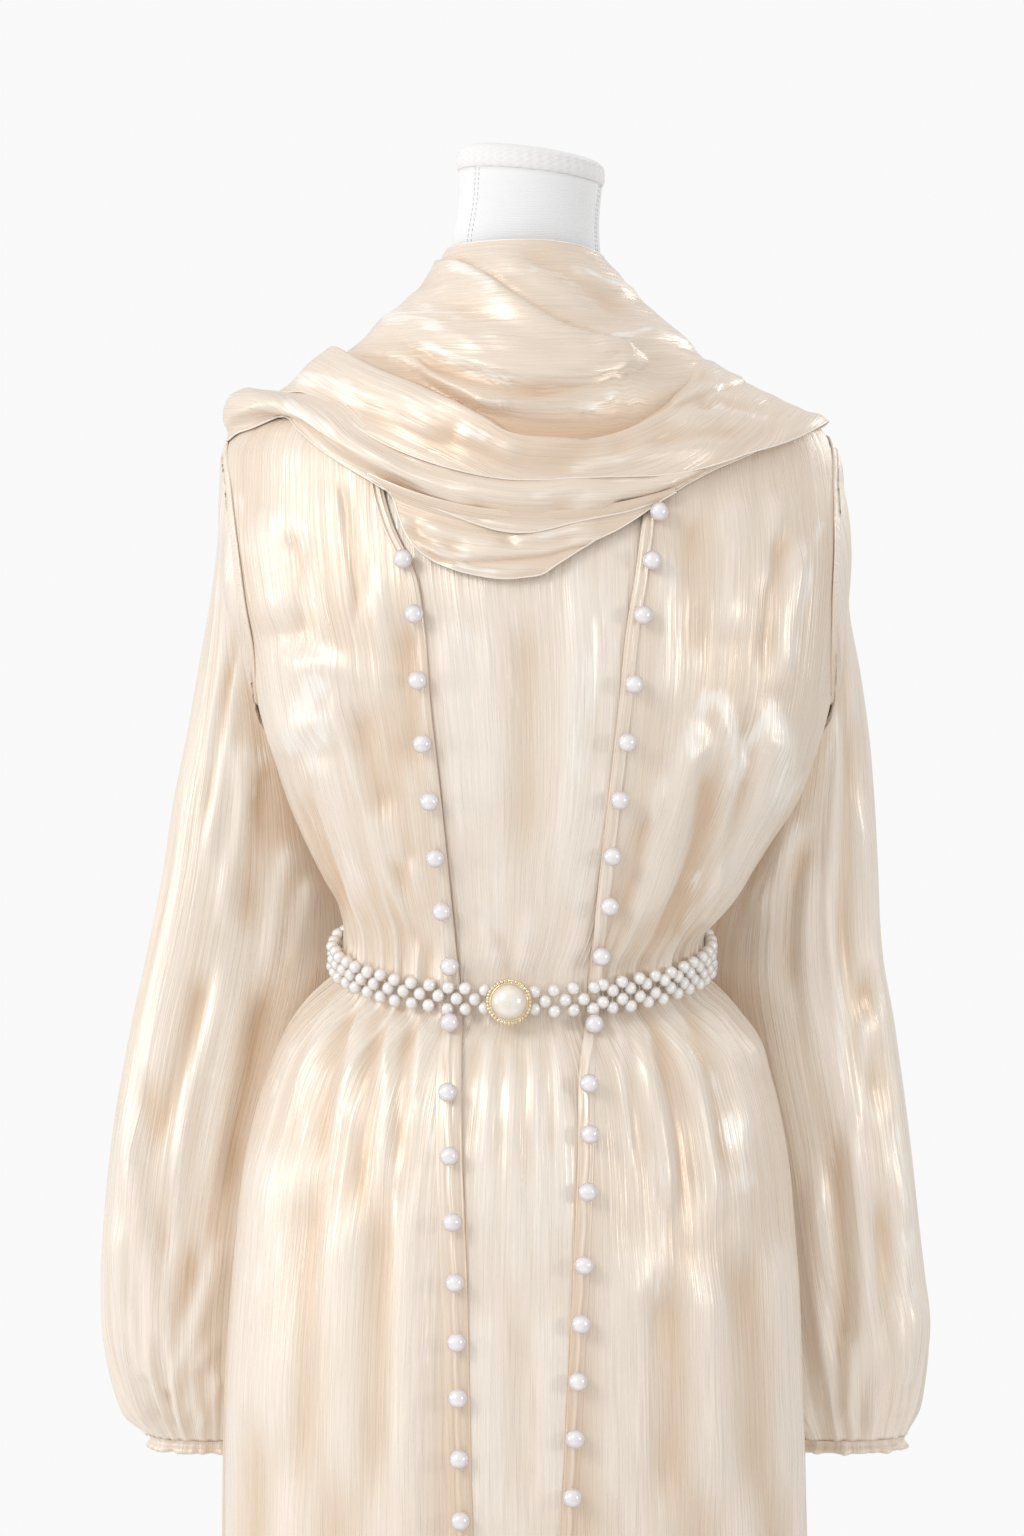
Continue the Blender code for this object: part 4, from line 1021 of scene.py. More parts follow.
# %% The sleeves
SLEEVE_LEFT_FOLDS = drawn("""
.0022 .005 .4 | -224 1316 -222 1271 -225 1236 -231 1186 -238 1147 -246 1102
.0026 .005 .5 | -210 1229 -218 1196 -222 1156 -229 1121 -236 1080 -241 1036
-.0024 .005 0 | -216 1221 -226 1176 -235 1117 -241 1065
.0036 .009 .3 | -218 1156 -212 1117 -215 1076 -223 1043 -225 999
-.003 .009 0 | -198 1132 -201 1087 -205 1043 -207 991
.0028 .008 .3 | -175 1081 -184 1039 -190 999 -198 962
.0024 .006 .2 | -161 1051 -170 1010 -178 973
.0032 .007 .5 | -226 991 -240 921 -253 885 -259 846 -267 807
-.003 .008 0 | -238 984 -251 924 -267 873 -276 828
-.0034 .01 0 | -187 974 -200 935 -208 890 -218 846 -223 787
.004 .012 .2 | -213 984 -217 939 -225 887 -232 843 -236 791
.003 .008 .3 | -227 787 -238 739 -250 702 -261 674 -260 655 -261 634
-.0028 .007 0 | -245 784 -251 739 -265 702 -270 665 -267 636
.0028 .008 .3 | -306 806 -304 756 -293 713 -281 677 -271 639
.0036 .012 .2 | -293 895 -295 843 -290 784 -276 732 -269 688 -266 643
-.0026 .009 0 | -281 910 -282 843 -275 784 -265 739
.0026 .006 .2 | -235 710 -244 676 -251 647 -253 631
.0024 .005 .2 | -227 680 -238 654 -242 630
-.0022 .005 0 | -241 688 -247 658 -248 631
-.0024 .005 0 | -287 680 -279 654 -273 633
-.0022 .005 0 | -269 669 -265 649 -263 631""")

SLEEVE_RIGHT_FOLDS = drawn("""
.0034 .006 .5 | 229 1191 228 1144 224 1075 220 1020 224 965 229 910
-.003 .007 0 | 238 1184 238 1125 235 1058 233 999 238 939
.003 .008 .3 | 196 1094 187 1062 173 1034 165 1006
-.0026 .008 0 | 205 1087 198 1043 192 999 193 947
.003 .009 .2 | 210 1065 205 1006 208 947 215 887
.003 .008 .3 | 244 1116 250 1048 260 971 266 910
-.0026 .009 0 | 250 984 254 917 260 858
.003 .009 .3 | 236 887 242 821 247 754 242 695 239 636
-.0028 .008 0 | 224 873 229 806 232 739 229 680 229 636
.0032 .009 .2 | 210 843 214 776 217 710 218 636
.0028 .008 .3 | 269 858 276 799 278 739 269 688 259 636
-.0026 .008 0 | 259 821 263 754 257 695 250 636
.0024 .006 0 | 288 739 282 695 272 658 266 633
.0024 .006 .2 | 234 710 235 665 234 633
-.0022 .005 0 | 281 680 272 650 267 633
.0026 .007 .2 | 251 954 247 895 244 843""")

# Folds on the sleeve's back: turn in degrees, half width, rise, and the places it runs between
BACK_FOLDS = table("from_bearing to_bearing half_width rise top bottom", """
205 215 9 .003 -1 -9
235 228 8 -.0026 -2 -11
262 250 9 .0034 -.5 -12.5
290 282 8 -.0026 -3 -11
322 306 9 .0032 -1 -13
248 262 8 .003 -8 -15
300 318 8 -.0026 -8.5 -15""")
SLEEVE_COLUMNS_SHOWN = 120
SLEEVE_ROWS = 160
ARMHOLE_ROWS = 26
LAST_PLACE = 15.0
SLEEVE_PLEATS = 26
CUFF_PLEAT_DEPTH = 0.0064
CAP_PLEAT_DEPTH = 0.0016
SLEEVE_IN = 0.0008
SLEEVE_TURN = 0.072
# The folds' rise counts 1.3 times in the colour, for deeper painted shade in the sleeve's folds
RISE_IN_COLOUR = 1.3
# The shade beside the body: how deep, how far out, and between which heights
UNDERARM_SHADE = 0.0040
UNDERARM_REACH = 0.024
UNDERARM_HEIGHTS = (0.86, 1.27)


def underarm_shade(points):
    """How deep the painted shade goes beside the body: a bell of the way out from the body's side."""
    height = points[..., 2]
    low, high = UNDERARM_HEIGHTS
    away = np.maximum(np.abs(points[..., 0]) - eased(BODY, "half_width", height), 0)
    between = soft_step(0.0, 0.10, high - height), soft_step(0.0, 0.16, height - low)
    return UNDERARM_SHADE * bell(away, UNDERARM_REACH) * between[0] * between[1]


def build_sleeve(name, side, folds):
    """One sleeve, from inside the armhole to the cuff."""
    turn = -side * np.linspace(0, 2 * math.pi, SLEEVE_COLUMNS_SHOWN, endpoint=False)[None, :]
    place = np.concatenate([np.linspace(-1, 1, ARMHOLE_ROWS),
                            np.linspace(1, LAST_PLACE, SLEEVE_ROWS)[1:]])[:, None]
    points = sleeve_points(side, turn, place)
    facing = soft_step(-0.15, 0.35, np.sin(turn))
    degrees = np.degrees(turn) % 360
    free = soft_step(-0.9, 1.5, place)
    wrist = 1 - soft_step(0.0, 0.8, LAST_PLACE - place)
    rise = placed_folds(front_plane(points), folds) * facing
    rise = rise + hanging_folds(degrees, -place, BACK_FOLDS) * (1 - facing)
    rise = rise + ripples(degrees, place / 12, (5, 8, 13), 0.0012, 20 + side)
    rise = rise * free * (1 - wrist)
    rise = rise + (1 - 0.7 * wrist) * gathers(degrees, place, LAST_PLACE, SLEEVE_PLEATS,
                                              CUFF_PLEAT_DEPTH, 1.0, 3.2, 30 + side)
    rise = rise + free * gathers(degrees, place, -1.0, SLEEVE_PLEATS, CAP_PLEAT_DEPTH, 2.2, 1.0, 40 + side)
    shifted = points + (rise - SLEEVE_IN)[..., None] * grid_normals(points, True)
    shifted = clear_of_body(shifted, SLEEVE_IN + OFF_LOWER * np.clip(place / 2, 0, 1) * np.ones_like(turn))
    shifted[0] = points[0]
    across = np.linspace(0, 2 * math.pi, SLEEVE_COLUMNS_SHOWN + 1)[None, :] * SLEEVE_TURN
    down = run_down(shifted)
    down = np.hstack([down, down[:, :1]])
    highlight_paint = painted_highlight_share(name, front_plane(points), facing)
    # Painted shade: the folds count more in the colour, and it deepens beside the body
    colour = RISE_IN_COLOUR * rise - underarm_shade(points) * facing
    piece = shell(name + "_cloth", shifted, across, -down, colour, closed=True, painted_highlight=highlight_paint)
    return dress(piece, sleeve_satin_painted_lighter, "abaya", name)


sleeve_left = build_sleeve("sleeve_left", -1, SLEEVE_LEFT_FOLDS)
sleeve_right = build_sleeve("sleeve_right", 1, SLEEVE_RIGHT_FOLDS)

# %% [markdown]
# The cuff is a narrow band with an elastic in it and a small frill below. The elastic pinches the
# cloth, so the band is full of puckers, and the frill waves where it is let go.

# %% The cuffs
CUFF_COLUMNS = 260
CUFF_ROWS = 18
PUCKER_COUNTS = (9, 15, 24, 37)
PUCKER_SIZES = (0.6, 0.5, 0.35, 0.15)
FRILL_DROP = 0.0007
CUFF_PROFILE = table("drop grow wave", """
.0004 -.0006 .0009
.0018 -.0014 .0008
.0034 -.0018 .0007
.005 -.0008 .001
.0064 .0004 .0013
.008 .001 .0014
.0094 .0004 .0013
.0102 -.0012 .001""")


def build_cuff(name, side, replaced):
    """The gathered band and its frill: a profile down the cuff carried round the wrist's oval."""
    turn = -side * np.linspace(0, 2 * math.pi, CUFF_COLUMNS, endpoint=False)[None, :]
    down = np.linspace(CUFF_PROFILE["drop"][0], CUFF_PROFILE["drop"][-1], CUFF_ROWS)[:, None]
    middle, reach, deep = sleeve_axes(side, np.full((1, 1), LAST_PLACE))
    grow = eased(CUFF_PROFILE, "grow", down, "drop")
    wave = eased(CUFF_PROFILE, "wave", down, "drop")
    draw = np.random.default_rng(50 + side)
    pucker = sum(size * np.cos(count * turn + phase) for count, size, phase in zip(
        PUCKER_COUNTS, PUCKER_SIZES, draw.uniform(0, 6.28, 4)))
    rise = grow + wave * pucker
    wide = 1 + rise / np.linalg.norm(reach)
    thick = 1 + rise / np.linalg.norm(deep)
    drop = down + FRILL_DROP * pucker * soft_step(0.004, 0.009, down)
    points = (middle + reach * (wide * np.cos(turn))[..., None]
              - deep * (thick * np.sin(turn))[..., None] - np.array([0, 0, 1]) * drop[..., None])
    across = np.linspace(0, 2 * math.pi, CUFF_COLUMNS + 1)[None, :] * SLEEVE_TURN
    piece = shell(name, points, across, -down, wave * pucker, closed=True)
    return dress(piece, abaya_satin, "abaya", replaced)


cuff_left = build_cuff("cuff_left_cloth", -1, "cuff_left")
cuff_right = build_cuff("cuff_right_cloth", 1, "cuff_right")

# %% [markdown]
# A turned band finishes each front edge. It is made from the panel's own surface, moved out, with
# its free edge rounded over. The two have grids of their own, and some of their faces cross.

# %% The plackets
PLACKET_TOP = 1.384
BAND = table("height left right", """
1.384 .0085 .009
1.08 .0085 .009
1.035 .0085 .009
.98 .0125 .0101
.935 .018 .0113
.9 .019 .0118
.86 .019 .0118
.03 .019 .0118""")
PLACKET_COLUMNS = 28
PLACKET_ROWS = 330
BAND_ACROSS = 0.012
# Across the band from the free edge: how far it is lifted
BAND_PROFILE = table("share lift", """
0 .0006
.06 .0012
.2 .0014
.8 .001
1 .0002""")
# Heights of the pearls' middles as they are seen, top to bottom
PEARLS_LEFT = (1.274, 1.235, 1.188, 1.143, 1.102, 1.0615, 1.0235, 0.9840,
               0.9445, 0.897, 0.853, 0.807, 0.765, 0.7235, 0.6845, 0.642, 0.599)
PEARLS_RIGHT = (1.308, 1.273, 1.234, 1.185, 1.144, 1.103, 1.063, 1.027, 0.9910,
                0.9435, 0.903, 0.868, 0.828, 0.777, 0.736, 0.696, 0.656, 0.615)
PEARL_PITCH = 0.0425
# How far across the band the pearls' thread runs, above and below the belt
THREAD_SEAT = table("height left right", """
1.384 .94 .94
1.08 .94 .92
1.035 .92 .88
.98 .7 .7
.94 .52 .56
.9 .46 .54
.86 .46 .54
.03 .46 .54""")
THREAD_RISE = 0.0011
THREAD_HALF = 0.0011
SCALLOP = 0.0009


def across_band(side, share, heights):
    """Bearings across the band: the edge's, then on by a share of the band's width over the step."""
    edge = edge_bearing(heights, side)
    step = np.linalg.norm(oval(BODY, edge + side, heights) - oval(BODY, edge, heights), axis=-1)
    band = side * eased(BAND, side_name(side), heights) / step
    return edge[:, None] + band[:, None] * share


def pearl_levels(side):
    """The heights of all the pearls on one front: those seen, then evenly down to the hem."""
    shown = PEARLS_RIGHT if side > 0 else PEARLS_LEFT
    below = np.arange(shown[-1] - PEARL_PITCH, HEM + PEARL_PITCH / 2, -PEARL_PITCH)
    return np.concatenate([shown, below])


def thread_line(side, share, heights, points):
    """A thin ridge from pearl to pearl: a bell round a line that bulges between them."""
    levels = pearl_levels(side)
    phase = np.interp(-points[..., 2], -levels, np.arange(len(levels)))
    seat = eased(THREAD_SEAT, side_name(side), heights)[:, None]
    away = (share - seat) * eased(BAND, side_name(side), heights)[:, None]
    away = away - SCALLOP * (np.sin(math.pi * phase) ** 2 - 0.5)
    sunk = bell(np.abs(away) - 2.3 * THREAD_HALF, THREAD_HALF)
    return THREAD_RISE * (bell(away, THREAD_HALF) - 0.25 * sunk)


def build_placket(name, side, folds, replaced):
    """The band over one front edge."""
    share = np.linspace(0, 1, PLACKET_COLUMNS)[::side]
    heights = np.linspace(PLACKET_TOP, HEM, PLACKET_ROWS)
    points, rise = abaya_surface(across_band(side, share, heights), heights[:, None], folds)
    line = thread_line(side, share, heights, points)
    lift = eased(BAND_PROFILE, "lift", share, "share") + line
    points = points + lift[..., None] * grid_normals(points, False)
    across = np.broadcast_to(share * BAND_ACROSS, points.shape[:2])
    piece = shell(name, points, across, -run_down(points), rise + line, thickness=THIN_CLOTH)
    return dress(piece, abaya_satin, "abaya", replaced)


placket_left = build_placket("placket_left_band", -1, LEFT_FOLDS, "placket_left")
placket_right = build_placket("placket_right_band", 1, RIGHT_FOLDS, "placket_right")

# %% [markdown]
# The pearls are glass beads with a soft nacre: cool white with a little lavender in the shade. Their
# gloss is even and low in contrast, so a coat over a paler body does it. Each bead has between 60
# and 240 faces, because there are hundreds of beads, and one mesh holds a whole row.

# %% Pearls
def pearl_finish(name, light, shade, rim):
    """Nacre: two pale colours in slow clouds, painted shade towards the rim, under a clear coat."""
    material, tree, shader = new_material(name, Metallic=0.10, Coat_Weight=1.0, Coat_IOR=1.9,
                                          Coat_Roughness=0.10)
    place = add(tree, "TexCoord", {}).outputs["Object"]
    cloud = add(tree, "TexNoise", {"Vector": place, "Scale": 160.0, "Detail": 2.0}).outputs[0]
    colour = blend_colour(tree, spread(tree, cloud, 0.35, 0.65, 0, 1), (*light, 1), (*shade, 1))
    # Painted shade: the colour darkens towards the rim as the surface turns away from the eye
    turned = add(tree, "LayerWeight", {"Blend": 0.5}).outputs["Facing"]
    colour = blend_colour(tree, spread(tree, turned, 0.12, 0.85, 0, 1), colour, (*rim, 1))
    drive(tree, shader, Base_Color=colour, Roughness=spread(tree, cloud, 0.3, 0.7, 0.20, 0.28))
    return material


def unit_ball(columns, rows):
    """A ball of radius 1 as points and faces: two poles and rings between them."""
    tilt = np.linspace(0, math.pi, rows + 1)[1:-1, None]
    turn = np.linspace(0, 2 * math.pi, columns, endpoint=False)[None, :]
    rings = np.stack(np.broadcast_arrays(np.sin(tilt) * np.cos(turn), np.sin(tilt) * np.sin(turn),
                                         np.cos(tilt)), axis=-1).reshape(-1, 3)
    points = np.concatenate([[[0, 0, 1.0]], rings, [[0, 0, -1.0]]])
    number = 1 + wrapped(rows - 1, columns)
    quads = grid_quads(number).tolist()
    top = [[0, int(a), int(b)] for a, b in zip(number[0], number[0][1:])]
    last = len(points) - 1
    bottom = [[last, int(b), int(a)] for a, b in zip(number[-1], number[-1][1:])]
    return points, quads + top + bottom


def beads(name, centres, radius, columns, rows):
    """One mesh of many balls of one radius, each at its own centre."""
    ball, faces = unit_ball(columns, rows)
    points = centres[:, None, :] + ball[None] * radius
    return put_mesh(name, points, repeated(faces, len(ball), len(centres)))


button_pearl = pearl_finish("button pearl", (0.93, 0.90, 0.90), (0.84, 0.79, 0.82), (0.54, 0.48, 0.50))
belt_pearl = pearl_finish("belt pearl", (0.96, 0.935, 0.905), (0.90, 0.86, 0.84), (0.60, 0.53, 0.48))

PEARL_RADIUS = 0.0069
PEARL_LIFT = 0.0008
# How far across the band each pearl sits, above and below the belt
PEARL_SEAT = table("height left right", """
1.384 .52 1.1
1.274 .54 1.1
1.188 .62 .92
1.103 .76 .84
1.063 .76 .74
1.02 .7 .66
.98 .55 .6
.94 .48 .58
.9 .43 .66
.86 .43 .62
.75 .42 .56
.03 .42 .56""")


def pearl_buttons(name, side, folds):
    """A pearl at each height on the band, resting on it."""
    levels = pearl_levels(side)
    heights = np.linspace(PLACKET_TOP, HEM, PLACKET_ROWS)
    seat = eased(PEARL_SEAT, side_name(side), heights)
    share = np.stack([seat - 0.2, seat, seat + 0.2], axis=-1)[:, ::side]
    points, _ = abaya_surface(across_band(side, share, heights), heights[:, None], folds)
    centre = points[:, 1] + (PEARL_RADIUS + PEARL_LIFT) * grid_normals(points, False)[:, 1]
    order = np.argsort(centre[:, 2])
    placed = np.stack([np.interp(levels, centre[order, 2], centre[order, axis]) for axis in range(3)],
                      axis=-1)
    dress(beads(name, placed, PEARL_RADIUS, 20, 12), button_pearl, "pearl")


pearl_buttons("pearl_buttons_left", -1, LEFT_FOLDS)
pearl_buttons("pearl_buttons_right", 1, RIGHT_FOLDS)

# %% [markdown]
# The belt is a net of pearls on thread. On one side of the clasp single pearls alternate with pairs,
# so it has three rows, and on the other it widens to four. It hangs from the gathers at the waist
# and dips a little in front. The pearls are set out by the length along the belt from the clasp.

# %% The pearl belt
CLASP_BEARING = -3.9
BELT_PEARL = 0.00485
BELT_LIFT = 0.0072
BELT_DROP = 0.0024
LEFT_PITCH = 0.0070
RIGHT_PITCH = 0.0073
CLASP_ROOM = 0.0245
CLASP_NEAR = 0.0178
RIGHT_THREES = 6
# How high the pearls sit over the belt's line: the pairs, the four rows, and the pairs at the clasp
PAIR_UP = 0.0074
ROWS_UP = (0.0089, 0.0039, -0.0032, -0.0089)
CLASP_PAIR_UP = (0.0066, -0.0050)
UNEVEN = 0.00035


def belt_line(bearing):
    """The belt's middle line round the waist: the section there, moved out and a little down."""
    line = oval(BODY, bearing, np.full(np.shape(bearing), WAIST)) + BELT_LIFT * outward(bearing)
    return line - np.array([0, 0, BELT_DROP])


def bearings_along(lengths, direction):
    """Bearings at lengths along the belt from the clasp, one way or the other."""
    bearing = CLASP_BEARING + direction * np.linspace(0, 220, 900)
    steps = np.linalg.norm(np.diff(belt_line(bearing), axis=0), axis=-1)
    return np.interp(lengths, np.concatenate([[0.0], np.cumsum(steps)]), bearing)


def belt_half(direction, pitch, threes, length):
    """Bearings and rises of one half's pearls: singles and pairs, then two and two in four rows."""
    column = np.arange(int((length - CLASP_ROOM) / pitch) + 1)
    bearing = bearings_along(CLASP_ROOM + pitch * column, direction)
    three = column < threes
    odd = column % 2
    first = np.where(three, np.where(odd, PAIR_UP, 0.0), np.where(odd, ROWS_UP[1], ROWS_UP[0]))
    second = np.where(three, np.where(odd, -PAIR_UP, np.nan), np.where(odd, ROWS_UP[3], ROWS_UP[2]))
    bearing = np.concatenate([bearing, bearing])
    up = np.concatenate([first, second])
    kept = ~np.isnan(up)
    return bearing[kept], up[kept]


whole_line = belt_line(np.linspace(0, 360, 721))
belt_length = np.linalg.norm(np.diff(whole_line, axis=0), axis=-1).sum()
left_bearing, left_up = belt_half(-1, LEFT_PITCH, 1000, belt_length / 2)
right_bearing, right_up = belt_half(1, RIGHT_PITCH, RIGHT_THREES, belt_length / 2)
# Two pairs sit right beside the clasp
near_bearing = np.array([bearings_along(CLASP_NEAR, way) for way in (-1, -1, 1, 1)])
bearing = np.concatenate([left_bearing, right_bearing, near_bearing])
up = np.concatenate([left_up, right_up, CLASP_PAIR_UP, CLASP_PAIR_UP])
jitter = np.random.default_rng(61).normal(0, UNEVEN, (len(bearing), 3))
belt_centres = belt_line(bearing) + np.array([0, 0, 1]) * up[:, None] + jitter
dress(beads("belt_pearl_net", belt_centres, BELT_PEARL, 14, 8), belt_pearl, "pearl", "belt_pearls")
print("The belt is", round(belt_length, 3), "m round, with", len(belt_centres), "pearls")

# %% [markdown]
# The net itself is thread: a fine line runs from each pearl to those next to it. Tubes carried along
# straight paths are enough, because only their ends show.

# %% The net's thread
def circles(along, radius, sides, reference):
    """A circle across each direction: radius * (cos * first + sin * second), both at right angles to it."""
    along = unit(along)
    first = unit(np.cross(along, np.array(reference)))
    second = np.cross(along, first)
    turn = np.linspace(0, 2 * math.pi, sides, endpoint=False)[None, :, None]
    return radius * (np.cos(turn) * first[:, None] + np.sin(turn) * second[:, None])


def end_faces(number):
    """The two flat ends of a closed grid of point numbers."""
    return [number[0, :-1].tolist(), number[-1, -2::-1].tolist()]


def tube(name, path, radius, sides, ring):
    """A round tube along a path, either closed to a ring or with flat ends."""
    along = np.roll(path, -1, axis=0) - np.roll(path, 1, axis=0) if ring else np.gradient(path, axis=0)
    points = path[:, None] + circles(along, radius, sides, (0.0, 0.0, 1.0))
    number = wrapped(len(path), sides)
    caps = [] if ring else end_faces(number)
    if ring:
        number = np.vstack([number, number[:1]])
    faces = grid_quads(number)[:, ::-1].tolist() + caps
    flags = np.arange(len(faces)) < len(faces) - len(caps)
    return put_mesh(name, points, faces, flags)


ROD_SIDES = 5


def rods(name, starts, ends, radius):
    """Many thin straight rods in one mesh."""
    ring = circles(ends - starts, radius, ROD_SIDES, (0.31, 0.22, 0.92))
    points = np.stack([starts[:, None] + ring, ends[:, None] + ring], axis=1)
    number = wrapped(2, ROD_SIDES)
    one = grid_quads(number)[:, ::-1].tolist() + end_faces(number)
    return put_mesh(name, points, repeated(one, 2 * ROD_SIDES, len(starts)))


def thread_finish(name, colour):
    """Twisted thread: fine diagonal bands in colour and bump."""
    material, tree, shader = new_material(name, Roughness=0.5)
    place = add(tree, "TexCoord", {}).outputs["Object"]
    twist = add(tree, "TexWave", {"Vector": place, "Scale": 420.0, "Distortion": 1.5},
                bands_direction="DIAGONAL").outputs[1]
    dark = tuple(0.75 * part for part in colour)
    drive(tree, shader, Base_Color=blend_colour(tree, twist, (*dark, 1), (*colour, 1)))
    bump = add(tree, "Bump", {"Strength": 0.4, "Distance": 0.0002, "Height": twist})
    drive(tree, shader, Normal=bump.outputs[0])
    return material


CREAM = (0.88, 0.78, 0.64)
NET_REACH = 0.0128
NET_THREAD = 0.00035
cream_thread = thread_finish("cream thread", CREAM)
apart = np.linalg.norm(belt_centres[:, None] - belt_centres[None], axis=-1)
first, second = np.nonzero(np.triu((apart < NET_REACH) & (apart > 0)))
dress(rods("belt_net_thread", belt_centres[first], belt_centres[second], NET_THREAD), cream_thread, "pearl")

# %% [markdown]
# The clasp is a brooch: a shallow gold cup with a ring of small gold beads round a large pearl dome.
# A profile turned about the brooch's axis gives the cup and the dome.

# %% The clasp
def closed_body(name, rings, flat_ends):
    """A closed body through rings, top first; its ends are shaded flat or with the rest."""
    number = wrapped(*rings.shape[:2])
    faces = grid_quads(number).tolist() + end_faces(number)
    return put_mesh(name, rings, faces, np.arange(len(faces)) < len(faces) - 2 * flat_ends)


def lathe(name, profile, count, place=(0, 0, 0), faces_front=False):
    """A profile of radius and height, top first, turned about an axis and closed by its end rings."""
    turn = np.linspace(0, 2 * math.pi, count, endpoint=False)[None, :]
    radius = profile["radius"][:, None]
    height = np.broadcast_to(profile["height"][:, None], (len(radius), count))
    rings = np.stack([radius * np.sin(turn), -radius * np.cos(turn), height], axis=-1)
    if faces_front:
        rings = np.stack([rings[..., 0], -rings[..., 2], rings[..., 1]], axis=-1)
    return closed_body(name, rings + np.array(place), False)


def metal_finish(name, colour, dark, rough):
    """Plated metal with a little tarnish in slow clouds."""
    material, tree, shader = new_material(name, Metallic=1.0)
    place = add(tree, "TexCoord", {}).outputs["Object"]
    cloud = add(tree, "TexNoise", {"Vector": place, "Scale": 240.0, "Detail": 4.0}).outputs[0]
    share = spread(tree, cloud, 0.40, 0.62, 0, 1)
    drive(tree, shader, Base_Color=blend_colour(tree, share, (*dark, 1), (*colour, 1)),
          Roughness=spread(tree, cloud, 0.3, 0.7, rough + 0.10, rough))
    return material


gold = metal_finish("pale gold", (0.93, 0.82, 0.62), (0.84, 0.70, 0.48), 0.20)
ivory_pearl = pearl_finish("ivory pearl", (0.95, 0.90, 0.82), (0.88, 0.82, 0.72), (0.66, 0.54, 0.38))
CLASP_SEAT = 0.0108
GOLD_BEADS = 36
GOLD_BEAD = 0.00150
BEAD_RING = 0.0150
BEAD_FORWARD = 0.0042
DOME_RADIUS = 0.0127
DOME_SEAT = 0.0048
DOME_HEIGHT = 0.0100

clasp_at = (oval(BODY, np.array(CLASP_BEARING), np.array(WAIST))
            + CLASP_SEAT * outward(np.array(CLASP_BEARING)) - np.array([0, 0, BELT_DROP]))
cup = table("radius height", """
.0122 .0052
.0131 .006
.0138 .0055
.0144 .004
.0158 .003
.0165 .002
.0162 .0006
.015 0""")
dress(lathe("clasp_cup", cup, 72, clasp_at, True), gold, "clasp", "belt_clasp")
turn = np.linspace(0, 2 * math.pi, GOLD_BEADS, endpoint=False)
ring = np.stack([BEAD_RING * np.sin(turn), np.full(GOLD_BEADS, -BEAD_FORWARD),
                 BEAD_RING * np.cos(turn)], axis=-1)
dress(beads("clasp_bead_ring", ring + clasp_at, GOLD_BEAD, 10, 6), gold, "clasp")
rise = np.linspace(math.pi / 2 - 0.03, 0, 16)
dome = {"radius": DOME_RADIUS * np.cos(rise), "height": DOME_SEAT + DOME_HEIGHT * np.sin(rise)}
dress(lathe("clasp_pearl_dome", dome, 64, clasp_at, True), ivory_pearl, "clasp")

# %% [markdown]
# The scarf is one long cloth wound round the neck and over the shoulders. What shows is a roll at
# the neck, a band that wraps over it, a wide fold that lies on the shoulders and a last layer that
# looks out in front. Each is a strip of one family of contours, from the neck outwards, with its
# two edges given as places on those contours by bearing.

# %% The scarf's contours
SCARF = table("place front_y front_z right_x right_z left_x left_z back_y back_z", """
0 -.066 1.509 .056 1.503 .061 1.509 .066 1.512
1 -.094 1.45 .087 1.469 .09 1.472 .096 1.466
2 -.121 1.378 .142 1.42 .138 1.431 .124 1.404
3 -.136 1.33 .194 1.393 .186 1.403 .136 1.36
3.5 -.1395 1.308 .215 1.385 .2085 1.402 .139 1.34
4 -.142 1.29 .2225 1.38 .218 1.395 .141 1.322
5 -.1465 1.257 .2265 1.366 .2225 1.368 .142 1.3
6 -.15 1.226 .229 1.35 .226 1.345 .143 1.28""")


def contour(bearing, place):
    """The scarf's middle surface: an oval contour that sags in front and rests on the shoulders."""
    bearing, place = np.broadcast_arrays(bearing, place)
    turn = np.radians(bearing)
    ahead = np.cos(turn)
    side = np.sin(turn)
    wide = np.where(side > 0, eased(SCARF, "right_x", place, "place"),
                    eased(SCARF, "left_x", place, "place"))
    side_z = np.where(side > 0, eased(SCARF, "right_z", place, "place"),
                      eased(SCARF, "left_z", place, "place"))
    deep = np.where(ahead > 0, -eased(SCARF, "front_y", place, "place"),
                    eased(SCARF, "back_y", place, "place"))
    end_z = np.where(ahead > 0, eased(SCARF, "front_z", place, "place"),
                     eased(SCARF, "back_z", place, "place"))
    z = end_z * ahead ** 2 + side_z * side ** 2
    return np.stack([wide * side, -deep * ahead, z], axis=-1)


def around(rows, column, bearing):
    """A table's value all round: the rows are repeated past both ends so that the curve closes."""
    longer = {key: np.concatenate([values, values, values]) for key, values in rows.items()}
    count = len(rows["bearing"])
    longer["bearing"] = longer["bearing"] + np.repeat([-360.0, 0.0, 360.0], count)
    return eased(longer, column, bearing, "bearing")


def raised(surface, bearing, place, lift):
    """A surface's points moved along its outward normal, found from small steps."""
    step = 1e-3
    across = surface(bearing + 100 * step, place) - surface(bearing - 100 * step, place)
    along = surface(bearing, place + step) - surface(bearing, place - step)
    return surface(bearing, place) + lift[..., None] * unit(np.cross(along, across))


